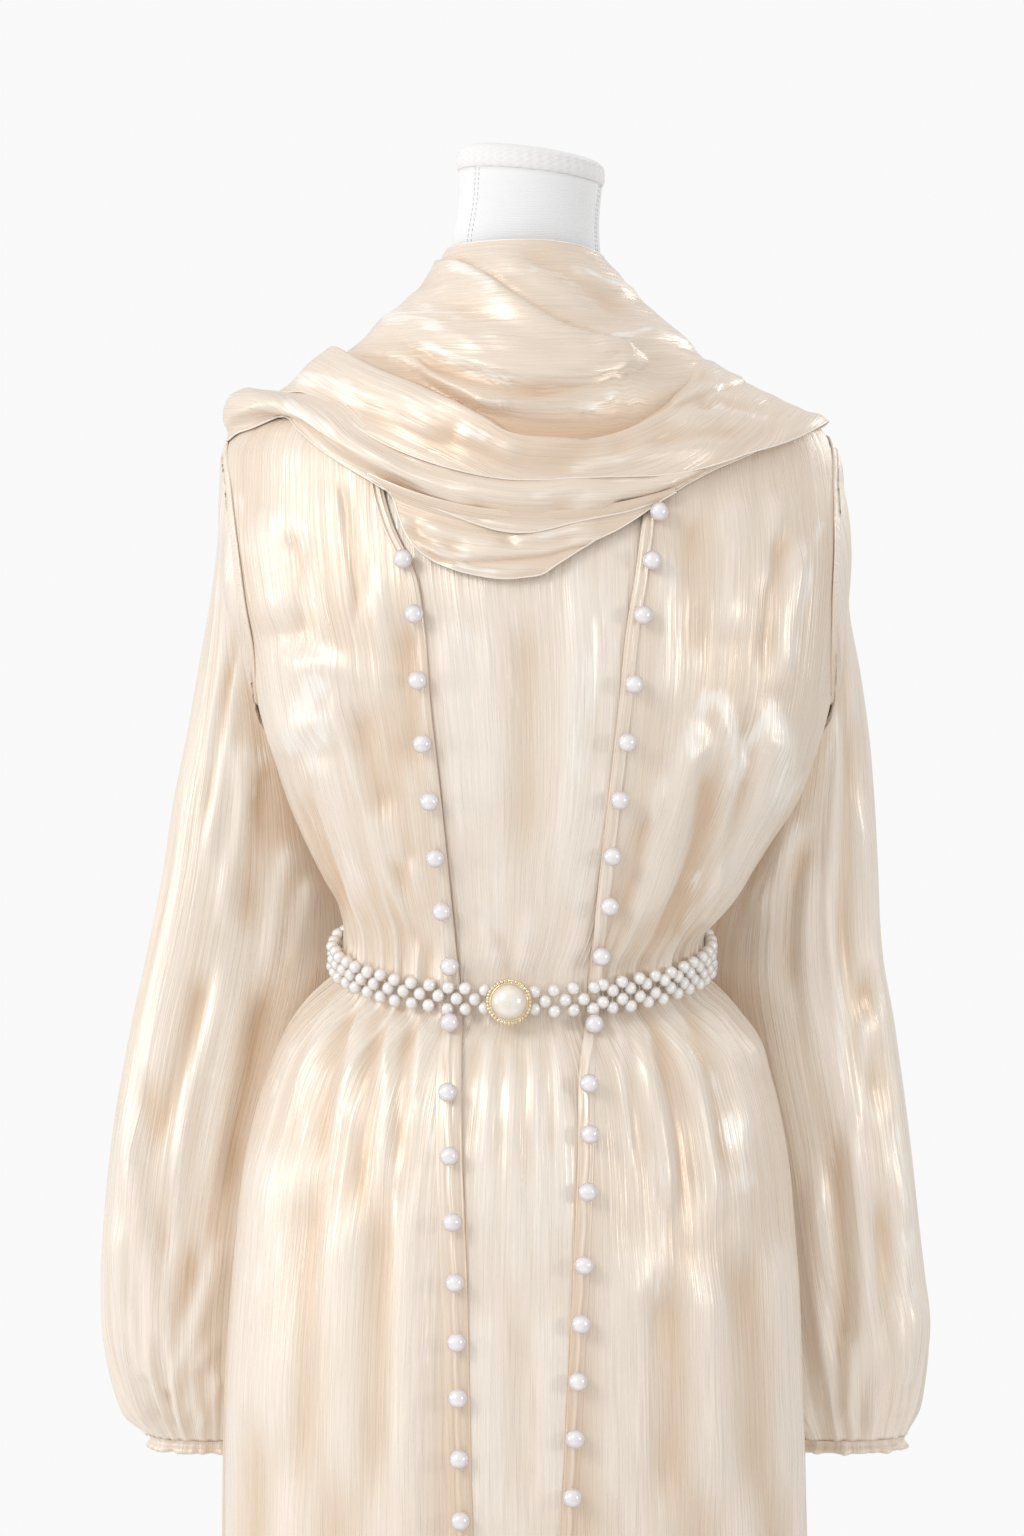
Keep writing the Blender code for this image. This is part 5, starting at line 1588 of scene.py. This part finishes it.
# Places of the roll's lower edge, the hollow, the band's edge and the wide fold's hem, by bearing
TURNS = table("bearing roll hollow band hem", """
-165 1.78 1.98 3 4.2
-135 1.8 1.96 2.98 4.45
-110 1.84 1.95 2.98 4.9
-90 1.9 1.94 3.02 5
-82 1.92 1.94 3 4.95
-76 1.92 1.93 2.92 4.65
-70 1.87 1.93 2.8 4.3
-66 1.81 1.93 2.74 3.86
-62 1.76 1.93 2.71 3.64
-57 1.71 1.93 2.7 3.66
-50 1.67 1.92 2.73 3.73
-43 1.67 1.9 2.84 3.76
-36 1.73 1.89 2.9 3.76
-29 1.79 1.91 2.93 3.76
-23 1.84 1.94 2.95 3.73
-17 1.89 2 2.97 3.75
-11 1.92 2.08 2.99 3.84
-5 1.9 2.2 3.01 3.93
0 1.86 2.25 3.01 3.93
4 1.82 2.27 3.01 3.86
8 1.78 2.29 3.01 3.78
14 1.74 2.33 3.05 3.74
20 1.71 2.34 3.12 3.74
27 1.69 2.3 3.24 3.69
34 1.71 2.22 3.33 3.58
41 1.68 2.15 3.39 3.53
47 1.67 2.08 3.44 3.55
53 1.67 2 3.55 3.56
62 1.68 1.84 3.7 3.6
70 1.66 1.8 3.78 3.66
86 1.62 1.78 3.83 3.72
100 1.6 1.8 3.88 3.78
120 1.62 1.82 3.7 3.92
150 1.68 1.9 3.12 4.06""")

# The hem of the last layer, a crescent that is fuller on one side
UNDER_HEM = table("bearing hem", """
-34 3.58
-30 3.7
-28 3.92
-26.5 4.15
-24.8 4.42
-22 4.7
-19 4.83
-15 4.91
-9.5 4.94
-5 4.94
-1 4.88
2.5 4.8
5 4.62
11 4.26
17.5 4.04
22 3.88
26 3.7
30 3.58""")

# %% [markdown]
# The scarf's creases are drawn like the body's. The long ones follow the winding: from high on one
# side to low on the other. Finer ones run with them, so that the satin catches light in streaks.

# %% The scarf's folds
SCARF_FOLDS = {
    "scarf_neck": drawn("""
.001 .006 0 | 42 1446 58 1445 78 1448 96 1451 106 1453
.0016 .003 0 | 30 1499 45 1490 61 1484 82 1476
.0024 .008 .3 | -127 1446 -99 1456 -73 1453 -50 1444 -21 1434
-.003 .0055 0 | -100 1438 -78 1428 -56 1419.5 -34 1413 -10 1407.5 20 1406.5 50 1408.5
.0015 .007 0 | -38 1508 -14 1501 8 1489 34 1473 60 1459
-.0015 .007 0 | -14 1510 12 1501 38 1486 61 1470 82 1459
-.0014 .009 0 | -73 1473 -44 1468 -7 1452 23 1436 53 1428
.0016 .008 0 | -44 1450 -7 1439 30 1427 67 1427
.0018 .003 0 | 33 1390 45 1394 57 1400 69 1407
.0016 .003 0 | -44 1402 -27 1397 -10 1396
.0012 .004 0 | -109 1431 -96 1430 -84 1422"""),
    "scarf_middle": drawn("""
.0022 .006 0 | -180 1407 -162 1411 -140 1408 -118 1397
.0018 .008 0 | -170 1424 -140 1418 -103 1405 -66 1387
-.0018 .008 0 | -151 1405 -118 1391 -81 1370 -44 1358
-.0026 .013 0 | -81 1381 -36 1365 8 1357 53 1362 82 1367
.0016 .007 0 | -59 1375 -29 1365 1 1360
-.0016 .007 0 | 53 1360 90 1372 127 1390
.0018 .007 0 | 23 1348 67 1353 112 1362 156 1372
.0009 .005 0 | 115 1428 130 1424 143 1415
-.0009 .004 0 | 119 1418 136 1412 153 1405
.001 .006 0 | 127 1405 153 1402 178 1396
-.0016 .005 0 | 119 1396 145 1395 175 1390
.0016 .006 0 | 97 1384 138 1387 182 1384
-.0015 .006 0 | 82 1365 127 1373 171 1376"""),
    "scarf_lower": drawn("""
.003 .008 0 | -220 1390 -202 1396 -177 1393 -147 1379 -118 1358 -81 1338
-.0022 .007 0 | -198 1387 -170 1381 -136 1360 -110 1344 -73 1325
-.0016 .008 0 | -59 1326 -21 1316 15 1320 53 1327
.0016 .007 0 | -66 1335 -21 1330 23 1332 67 1335
.0018 .006 0 | 23 1319 60 1325 97 1335 134 1344
-.0016 .005 0 | 53 1319 97 1329 134 1341
.0016 .005 0 | 127 1360 160 1369 193 1381
-.0014 .005 0 | 112 1350 149 1360 186 1372"""),
    "scarf_under": drawn("""
.002 .005 0 | -21 1293 -4 1294 14 1299 34 1302 54 1307
-.0016 .004 0 | -29 1298 1 1290 23 1293 45 1299
.0014 .005 0 | -88 1310 -66 1301 -36 1293 -7 1289
-.0014 .005 0 | -97 1310 -73 1295 -44 1288
.0012 .004 0 | -73 1279 -44 1273 -14 1271 12 1276""")}

# Where one fold lies over the next: height, reach, half width of the step, and its line
SCARF_OVERLAPS = {
    "scarf_neck": drawn("""
.0042 .022 .0022 | 91 1427 78 1436 55 1445 37 1450 14 1461 0 1470 -11 1476 -21 1484 -38 1495 -51 1501 \
    -65 1502 -82 1496
.002 .014 .002 | 48 1428 64 1433 79 1438 88 1441 102 1443 112 1441 127 1434
.0046 .017 .0016 | -102 1446 -76 1436 -56 1427 -38 1422 -21 1417 -6 1413 14 1412 41 1413 67 1419 93 1428"""),
    "scarf_middle": drawn("""
.002 .008 .0015 | 104 1393 125 1402 141 1407 155 1412 168 1415"""),
    "scarf_under": drawn("""
.0026 .012 .0012 | -88 1293 -79 1288 -67 1282 -29 1281 -4 1283 14 1285 32 1290 50 1294 61 1299""")}


def winding(bearing, place, counts, depth, seed):
    """Fine creases along the scarf: cosines of the place that drift slowly round the neck."""
    draw = np.random.default_rng(seed)
    rise = np.zeros(np.broadcast(bearing, place).shape)
    turn = np.radians(bearing)
    for count in counts:
        drift = draw.uniform(1.2, 2.2) * np.sin(turn + draw.uniform(0, 6.28)) + draw.uniform(0, 6.28)
        strong = 0.5 + 0.5 * np.sin(2 * turn + 3 * place + draw.uniform(0, 6.28))
        rise += depth / len(counts) ** 0.5 * strong * np.cos(count * place + drift)
    return rise


FRONT_CROWD = 0.60
METRES_TO_A_TURN = 0.16
CREASE_COUNTS = (6, 10, 16)
CREASE_DEPTH = 0.0007


def front_crowded(columns):
    """Bearings all round, closer together in front: 180 * (k * s + (1 - k) * s^3)."""
    s = np.linspace(-1, 1, columns, endpoint=False)
    return 180 * (FRONT_CROWD * s + (1 - FRONT_CROWD) * s ** 3)


def crowded_ends(rows):
    """Shares from 0 to 1, closer together at both ends."""
    s = np.linspace(0, 1, rows)
    return 0.45 * s + 0.55 * (0.5 - 0.5 * np.cos(math.pi * s))


def settled(points, share, gap):
    """Points brought in, by a share, to a gap outside the abaya's sections."""
    middle, away, reach = off_section(points, gap)
    moved = points.copy()
    moved[..., :2] += share[..., None] * (middle + away / reach - points[..., :2])
    return moved


def scarf_strip(name, start, end, lift_at, rows, columns, seed, bearings=None, rest=None):
    """A strip between two edges, lifted by a profile of its share, its bearing and its place."""
    closed = bearings is None
    bearings = front_crowded(columns) if closed else bearings
    bearing = np.broadcast_to(bearings[None, :], (rows, len(bearings)))
    share = crowded_ends(rows)[:, None]
    place = start(bearings) + (end(bearings) - start(bearings)) * share
    lift = lift_at(share, bearing, place)
    seen = front_plane(raised(contour, bearing, place, lift))
    facing = soft_step(-0.25, 0.20, np.cos(np.radians(bearing)))
    rise = placed_folds(seen, SCARF_FOLDS[name])
    rise = rise + sum(overlap(seen, *row) for row in SCARF_OVERLAPS.get(name, ()))
    rise = rise * facing + winding(bearing, place, CREASE_COUNTS, CREASE_DEPTH, seed)
    points = raised(contour, bearing, place, lift)
    if rest:
        points = settled(points, *rest(share, bearing, place))
    points = points + rise[..., None] * grid_normals(points, closed)
    down = run_down(points)
    turns = np.radians(bearings)
    if closed:
        down = np.hstack([down, down[:, :1]])
        turns = np.append(turns, math.pi)
    # The colour carries painted shade: the rise, deepened where the lift sinks below the contour
    piece = shell(name + "_cloth", points, down, np.broadcast_to(turns * METRES_TO_A_TURN, down.shape),
                  rise + np.minimum(lift, 0), closed, THIN_CLOTH, painted_highlight_share(name, seen, facing))
    return dress(piece, scarf_satin, "scarf", name), points


def stand_off(bearing, left, right):
    """1 in front and behind, and a given share at each side, where the cloth lies on the shoulder."""
    side = np.sin(np.radians(bearing))
    return 1 - (1 - np.where(side > 0, right, left)) * side ** 2


def roll_lift(share, bearing, place):
    """The neck's roll: it swells below the neck, turns in at its lower edge and sinks in the hollow."""
    roll = around(TURNS, "roll", bearing)
    inside = np.clip(place / roll, 0, 1)
    swell = 0.0085 * soft_step(0.0, 0.5, inside) - 0.0020 * inside ** 3
    wide = soft_step(-12, 22, bearing) * (1 - soft_step(72, 95, bearing))
    drop = soft_step(0.0, 0.11 + 0.40 * wide, place - roll)
    low = -0.0045 * stand_off(bearing, 0.3, 0.3)
    return stand_off(bearing, 0.06, 0.0) * swell * (1 - drop) + low * drop


def band_lift(share, bearing, place):
    """The wrapped band: its top edge turns in to the hollow, and it lies on the wide fold below."""
    start = around(TURNS, "hollow", bearing)
    curl = soft_step(-0.01, 0.12, place - start)
    body = 0.0085 * stand_off(bearing, 1.05, 0.10) * (1 - soft_step(0.30, 1.0, share))
    low = -0.0040 * stand_off(bearing, 0.3, 0.3)
    return low * (1 - curl) + (body + 0.0016) * curl


def hem_lift(share, bearing, place):
    """The wide fold: low under the band, rounded below it, more so on the left."""
    edge = around(TURNS, "band", bearing)
    past = np.clip((place - edge) / np.maximum(around(TURNS, "hem", bearing) - edge, 0.05), 0, 1)
    side = np.sin(np.radians(bearing))
    round_part = np.where(side < 0, 0.0022 + 0.0026 * side ** 2, 0.0022 * (1 - side ** 2))
    round_part = round_part + 0.0012 * bell(bearing + 78, 22)
    return 0.0006 + round_part * np.sin(math.pi * past) ** 0.8


def lower_rest(share, bearing, place):
    """The wide fold's hem comes to rest on the abaya, a little higher where the last layer is under it."""
    over = soft_step(-36, -29, bearing) * (1 - soft_step(25, 32, bearing))
    behind = soft_step(-0.25, 0.10, np.cos(np.radians(bearing)))
    late = 0.30 * bell(bearing + 78, 28)
    gap = 0.0032 + 0.0026 * over - 0.0022 * bell(bearing + 72, 26) + 0 * share
    return soft_step(0, 1, (share - 0.5 - late) / (0.5 - late)) * behind, gap


def under_rest(share, bearing, place):
    """The last layer lies close on the fronts."""
    return soft_step(3.5, 3.9, place), 0.0032 + 0 * bearing


scarf_neck, neck_points = scarf_strip(
    "scarf_neck", lambda b: 0 * b, lambda b: around(TURNS, "hollow", b) + 0.16,
    roll_lift, 74, 284, 71)
scarf_middle, middle_points = scarf_strip(
    "scarf_middle", lambda b: around(TURNS, "hollow", b), lambda b: around(TURNS, "band", b),
    band_lift, 54, 300, 72)
scarf_lower, lower_points = scarf_strip(
    "scarf_lower", lambda b: around(TURNS, "band", b) - 0.20, lambda b: around(TURNS, "hem", b),
    hem_lift, 48, 300, 73, rest=lower_rest)
scarf_under, under_points = scarf_strip(
    "scarf_under", lambda b: np.full(len(b), 3.5), lambda b: eased(UNDER_HEM, "hem", b, "bearing"),
    lambda share, bearing, place: -0.0012 + 0 * bearing, 44, 110, 74,
    np.linspace(-34, 29, 110), under_rest)

# %% [markdown]
# The scarf's edges are rolled and whipped by hand: a thread-fine roll, painted paler than the
# cloth as a highlight along each edge. A thin tube along the edge's own points makes it.

# %% Rolled edges
EDGE_RADIUS = 0.0006
# A pale satin with no rise, so the rolls read as a painted highlight along the edges
highlight_edge_satin = satin("rolled edge", (0.95, 0.90, 0.83), (0.90, 0.82, 0.72))


def rolled_edge(name, points, closed=True):
    """A thin roll along a row of points."""
    dress(tube(name, points, EDGE_RADIUS, 6, closed), highlight_edge_satin, "scarf")


rolled_edge("scarf_neck_roll", neck_points[0])
rolled_edge("scarf_band_roll", middle_points[-1])
rolled_edge("scarf_hem_roll", lower_points[-1])
rolled_edge("scarf_under_roll", under_points[-1], False)

# %% [markdown]
# Under it all stands a limbless dress form: a padded body covered in white jersey, a seamed neck and
# a knitted cap over the cut end. Only the neck shows. The form carries the shoulders and the bust.

# %% The dress form
FORM = table("height half_width forward back middle middle_y", """
.78 .15 .092 .098 -.006 0
.8 .16 .102 .108 -.006 0
.88 .158 .102 .106 -.006 0
.94 .134 .092 .09 -.006 0
.985 .116 .084 .078 -.005 0
1.05 .122 .088 .08 0 0
1.13 .138 .098 .086 .004 0
1.21 .152 .112 .092 .004 -.004
1.28 .164 .106 .096 .003 -.006
1.34 .18 .092 .096 .001 -.006
1.37 .189 .08 .088 0 -.006
1.385 .186 .076 .083 0 -.005
1.3957 .172 .073 .08 0 -.004
1.4127 .138 .069 .074 0 -.002
1.426 .099 .063 .066 0 0
1.438 .07 .057 .06 0 0
1.446 .063 .056 .057 0 0
1.46 .058 .055 .056 0 0
1.5 .056 .053 .053 -.002 0
1.515 .0546 .052 .052 -.002 0
1.535 .0526 .051 .051 -.0006 0
1.5625 .0532 .051 .051 .001 0""")
NECK_TOP = 1.5625
NECK_TILT = 0.110


def form(bearing, height):
    """The dress form's surface."""
    bearing, height = np.broadcast_arrays(bearing, height)
    return oval(FORM, bearing, height, lower_front=False)


def jersey_finish(name, colour, ribs):
    """Fine knit: rows of small loops as a wave crossed with noise."""
    material, tree, shader = new_material(name, Roughness=0.85, Sheen_Weight=0.3)
    place = add(tree, "TexCoord", {}).outputs["Object"]
    knit = add(tree, "TexWave", {"Vector": place, "Scale": ribs, "Distortion": 2.0,
                                 "Detail": 2.0, "Detail Scale": 3.0}, bands_direction="Z").outputs[1]
    cloud = add(tree, "TexNoise", {"Vector": place, "Scale": 30.0}).outputs[0]
    low = tuple(0.93 * part for part in colour)
    drive(tree, shader, Base_Color=blend_colour(tree, cloud, (*low, 1), (*colour, 1)))
    bump = add(tree, "Bump", {"Strength": 0.25, "Distance": 0.0004, "Height": knit})
    drive(tree, shader, Normal=bump.outputs[0])
    return material


jersey = jersey_finish("white jersey", (0.90, 0.90, 0.91), 260.0)
cap_knit = jersey_finish("white knit", (0.90, 0.89, 0.89), 420.0)


form_heights = np.concatenate([np.linspace(NECK_TOP, 1.36, 40), np.linspace(1.350, 0.780, 34)])
form_bearing, form_height = np.meshgrid(np.linspace(-180, 180, 96, endpoint=False), form_heights)
form_points = form(form_bearing, form_height)
form_points[..., 2] -= NECK_TILT * form_points[..., 0] * soft_step(1.46, 1.56, form_height)
dress(closed_body("form_body_jersey", form_points, True), jersey, "form", "form_body")

# The neck is sewn from panels: each seam has a row of small stitches on both sides
NECK_SEAMS = ((-47, -51), (74, 66), (180, 180))
STITCHES = 26
STITCH_LONG = 0.0021
STITCH_RADIUS = 0.00032
stitch_height = np.linspace(NECK_TOP - 0.002, 1.470, STITCHES)
seam_share = np.linspace(0, 1, STITCHES)
seam_bearing = np.concatenate([top + (low - top) * seam_share + apart
                               for top, low in NECK_SEAMS for apart in (-2.1, 2.1)])
seam_height = np.tile(stitch_height, 2 * len(NECK_SEAMS))
stitch_at = form(seam_bearing, seam_height) + 0.0001 * outward(seam_bearing)
stitch_at[..., 2] -= NECK_TILT * stitch_at[..., 0] * soft_step(1.46, 1.56, seam_height)
half_stitch = np.array([0, 0, STITCH_LONG / 2])

# %% [markdown]
# The cap over the neck's end is knitted in a zig-zag: two rows of short slanting stitches round the
# band. They are raised in the mesh, because at this size they catch the light.

# %% The neck's cap
CAP = table("share grow rise", """
0 -.017 .0186
.16 -.006 .0176
.26 -.0018 .016
.36 .0006 .0134
.5 .001 .0112
.9 .001 .0024
1 .0002 0""")
ZIGZAG = 46

cap_share = np.linspace(0, 1, 36)[:, None]
cap_bearing = np.linspace(-180, 180, 276, endpoint=False)[None, :]
row_wave = np.abs(((cap_share - 0.45) * 5.5) % 1 - 0.5) * 2
slant = (np.abs(((cap_bearing / 360 * ZIGZAG) + 0.5 * row_wave) % 1 - 0.5) * 2) ** 2
stitch = 0.0007 * slant * soft_step(0.30, 0.36, cap_share) * soft_step(0.0, 0.06, 1 - cap_share)
grow = eased(CAP, "grow", cap_share, "share") + stitch
cap_base = form(np.broadcast_to(cap_bearing, grow.shape), np.full(grow.shape, NECK_TOP))
cap_points = cap_base + grow[..., None] * outward(np.broadcast_to(cap_bearing, grow.shape))
cap_points[..., 2] += eased(CAP, "rise", cap_share, "share") - NECK_TILT * cap_base[..., 0]
dress(closed_body("form_neck_cap_knit", cap_points, True), cap_knit, "form", "form_neck_cap")
white_thread = thread_finish("white thread", (0.80, 0.80, 0.81))
stitches = rods("form_neck_stitches", stitch_at - half_stitch, stitch_at + half_stitch, STITCH_RADIUS)
dress(stitches, white_thread, "form")

# %% [markdown]
# The stand is a round steel plate and a tube, painted white. They are turned profiles with small
# rounded edges, so that the light finds them.

# %% The stand
def painted_finish(name, colour):
    """Satin paint with a very fine orange peel."""
    material, tree, shader = new_material(name)
    place = add(tree, "TexCoord", {}).outputs["Object"]
    peel = add(tree, "TexNoise", {"Vector": place, "Scale": 900.0, "Detail": 2.0}).outputs[0]
    cloud = add(tree, "TexNoise", {"Vector": place, "Scale": 8.0}).outputs[0]
    low = tuple(0.95 * part for part in colour)
    drive(tree, shader, Base_Color=blend_colour(tree, cloud, (*low, 1), (*colour, 1)),
          Roughness=spread(tree, peel, 0.3, 0.7, 0.30, 0.42))
    bump = add(tree, "Bump", {"Strength": 0.1, "Distance": 0.0002, "Height": peel})
    drive(tree, shader, Normal=bump.outputs[0])
    return material


white_paint = painted_finish("white paint", (0.80, 0.80, 0.80))
base_profile = table("radius height", """
.03 .012
.184 .012
.1865 .0114
.1886 .0098
.1898 .0072
.19 .0045
.1893 .002
.1875 .0004
.186 0""")
dress(lathe("stand_base_plate", base_profile, 128), white_paint, "stand", "stand_base")
pole_profile = table("radius height", """
.016 .7797
.016 .45
.0172 .448
.0172 .43
.016 .428
.016 .026
.02 .024
.024 .018
.024 .0123""")
dress(lathe("stand_pole_tube", pole_profile, 48), white_paint, "stand", "stand_pole")

# %% [markdown]
# The slip hangs from two narrow straps over the form's shoulders. They are hidden under the abaya
# but they are what holds the slip up, so they are kept, with a strip of cloth for a finish.

# %% The straps
for strap in ("slip_strap_left", "slip_strap_right"):
    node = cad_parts[strap]
    for number in range(len(node.material_slots)):
        node.material_slots[number].material = thread_finish(strap + " ribbon", CREAM)
    print(strap, "keeps its solid with a ribbon finish")

# %% [markdown]
# Each cloth is declared with a flat size and, where it isn't a rectangle, the area of its cut. They
# were chosen to fit the area that each cloth has here, not taken from a pattern.

# %% [markdown]
# The studio is plain: a pale floor, a white room, one large soft light from the left and in front,
# and three weaker ones, at both sides and behind. The room's light falls off to one side, so that
# the satin is not lit alike all round.

# %% Floor and light
floor_profile = table("radius height", [(0.02, -0.0006), (1.60, -0.0006), (1.60, -0.0100)])
floor_mesh = lathe("floor", floor_profile, 96)
floor_material, tree, shader = new_material("floor")
floor_place = add(tree, "TexCoord", {}).outputs["Object"]
grain = add(tree, "TexNoise", {"Vector": floor_place, "Scale": 4.0}).outputs[0]
pale = blend_colour(tree, grain, (0.86, 0.86, 0.86, 1), (0.90, 0.90, 0.90, 1))
tree.links.new(pale, shader.inputs["Base Color"])
shader.inputs["Roughness"].default_value = 0.9
floor_mesh.data.materials.append(floor_material)

world = bpy.data.worlds.new("room")
bpy.context.scene.world = world
world.use_nodes = True
tree = world.node_tree
background = tree.nodes["Background"]
way = add(tree, "TexCoord", {}).outputs["Generated"]
parts = add(tree, "SeparateXYZ", {0: way})
sideways = spread(tree, parts.outputs[0], -1, 1, 0.88, 0.61)
upwards = spread(tree, parts.outputs[2], -1, 1, 0.85, 1.10)
level = add(tree, "Math", {0: sideways, 1: upwards}, operation="MULTIPLY").outputs[0]
seen_by_eye = add(tree, "LightPath", {}).outputs["Is Camera Ray"]
shown = add(tree, "Mix", {0: seen_by_eye, 2: level, 3: 0.95}).outputs[0]
tree.links.new(shown, background.inputs["Strength"])
background.inputs["Color"].default_value = (1.0, 1.0, 1.0, 1)


def soft_light(name, place, target, size, power, colour):
    """A square area light that looks at a point."""
    data = bpy.data.lights.new(name, "AREA")
    data.size = size
    data.energy = power
    data.color = colour
    light = bpy.data.objects.new(name, data)
    away = np.array(place, float) - np.array(target, float)
    light.location = place
    turn = math.atan2(away[0], -away[1])
    tilt = math.acos(away[2] / np.linalg.norm(away))
    light.rotation_euler = (tilt, 0, turn)
    bpy.context.scene.collection.objects.link(light)


soft_light("key", (-2.2, -2.4, 2.8), (0, 0, 1.2), 1.3, 34, (1.0, 0.99, 0.975))
soft_light("left strip", (-2.9, -0.5, 1.25), (0, 0, 1.15), 0.8, 11, (1.0, 0.99, 0.98))
soft_light("right strip", (2.3, -1.6, 1.25), (0, 0, 1.10), 0.6, 11, (1.0, 0.98, 0.95))
soft_light("edge", (2.0, 1.8, 2.4), (0, 0, 1.1), 1.0, 14, (1.0, 1.0, 1.0))
bpy.context.scene.view_settings.view_transform = "Standard"
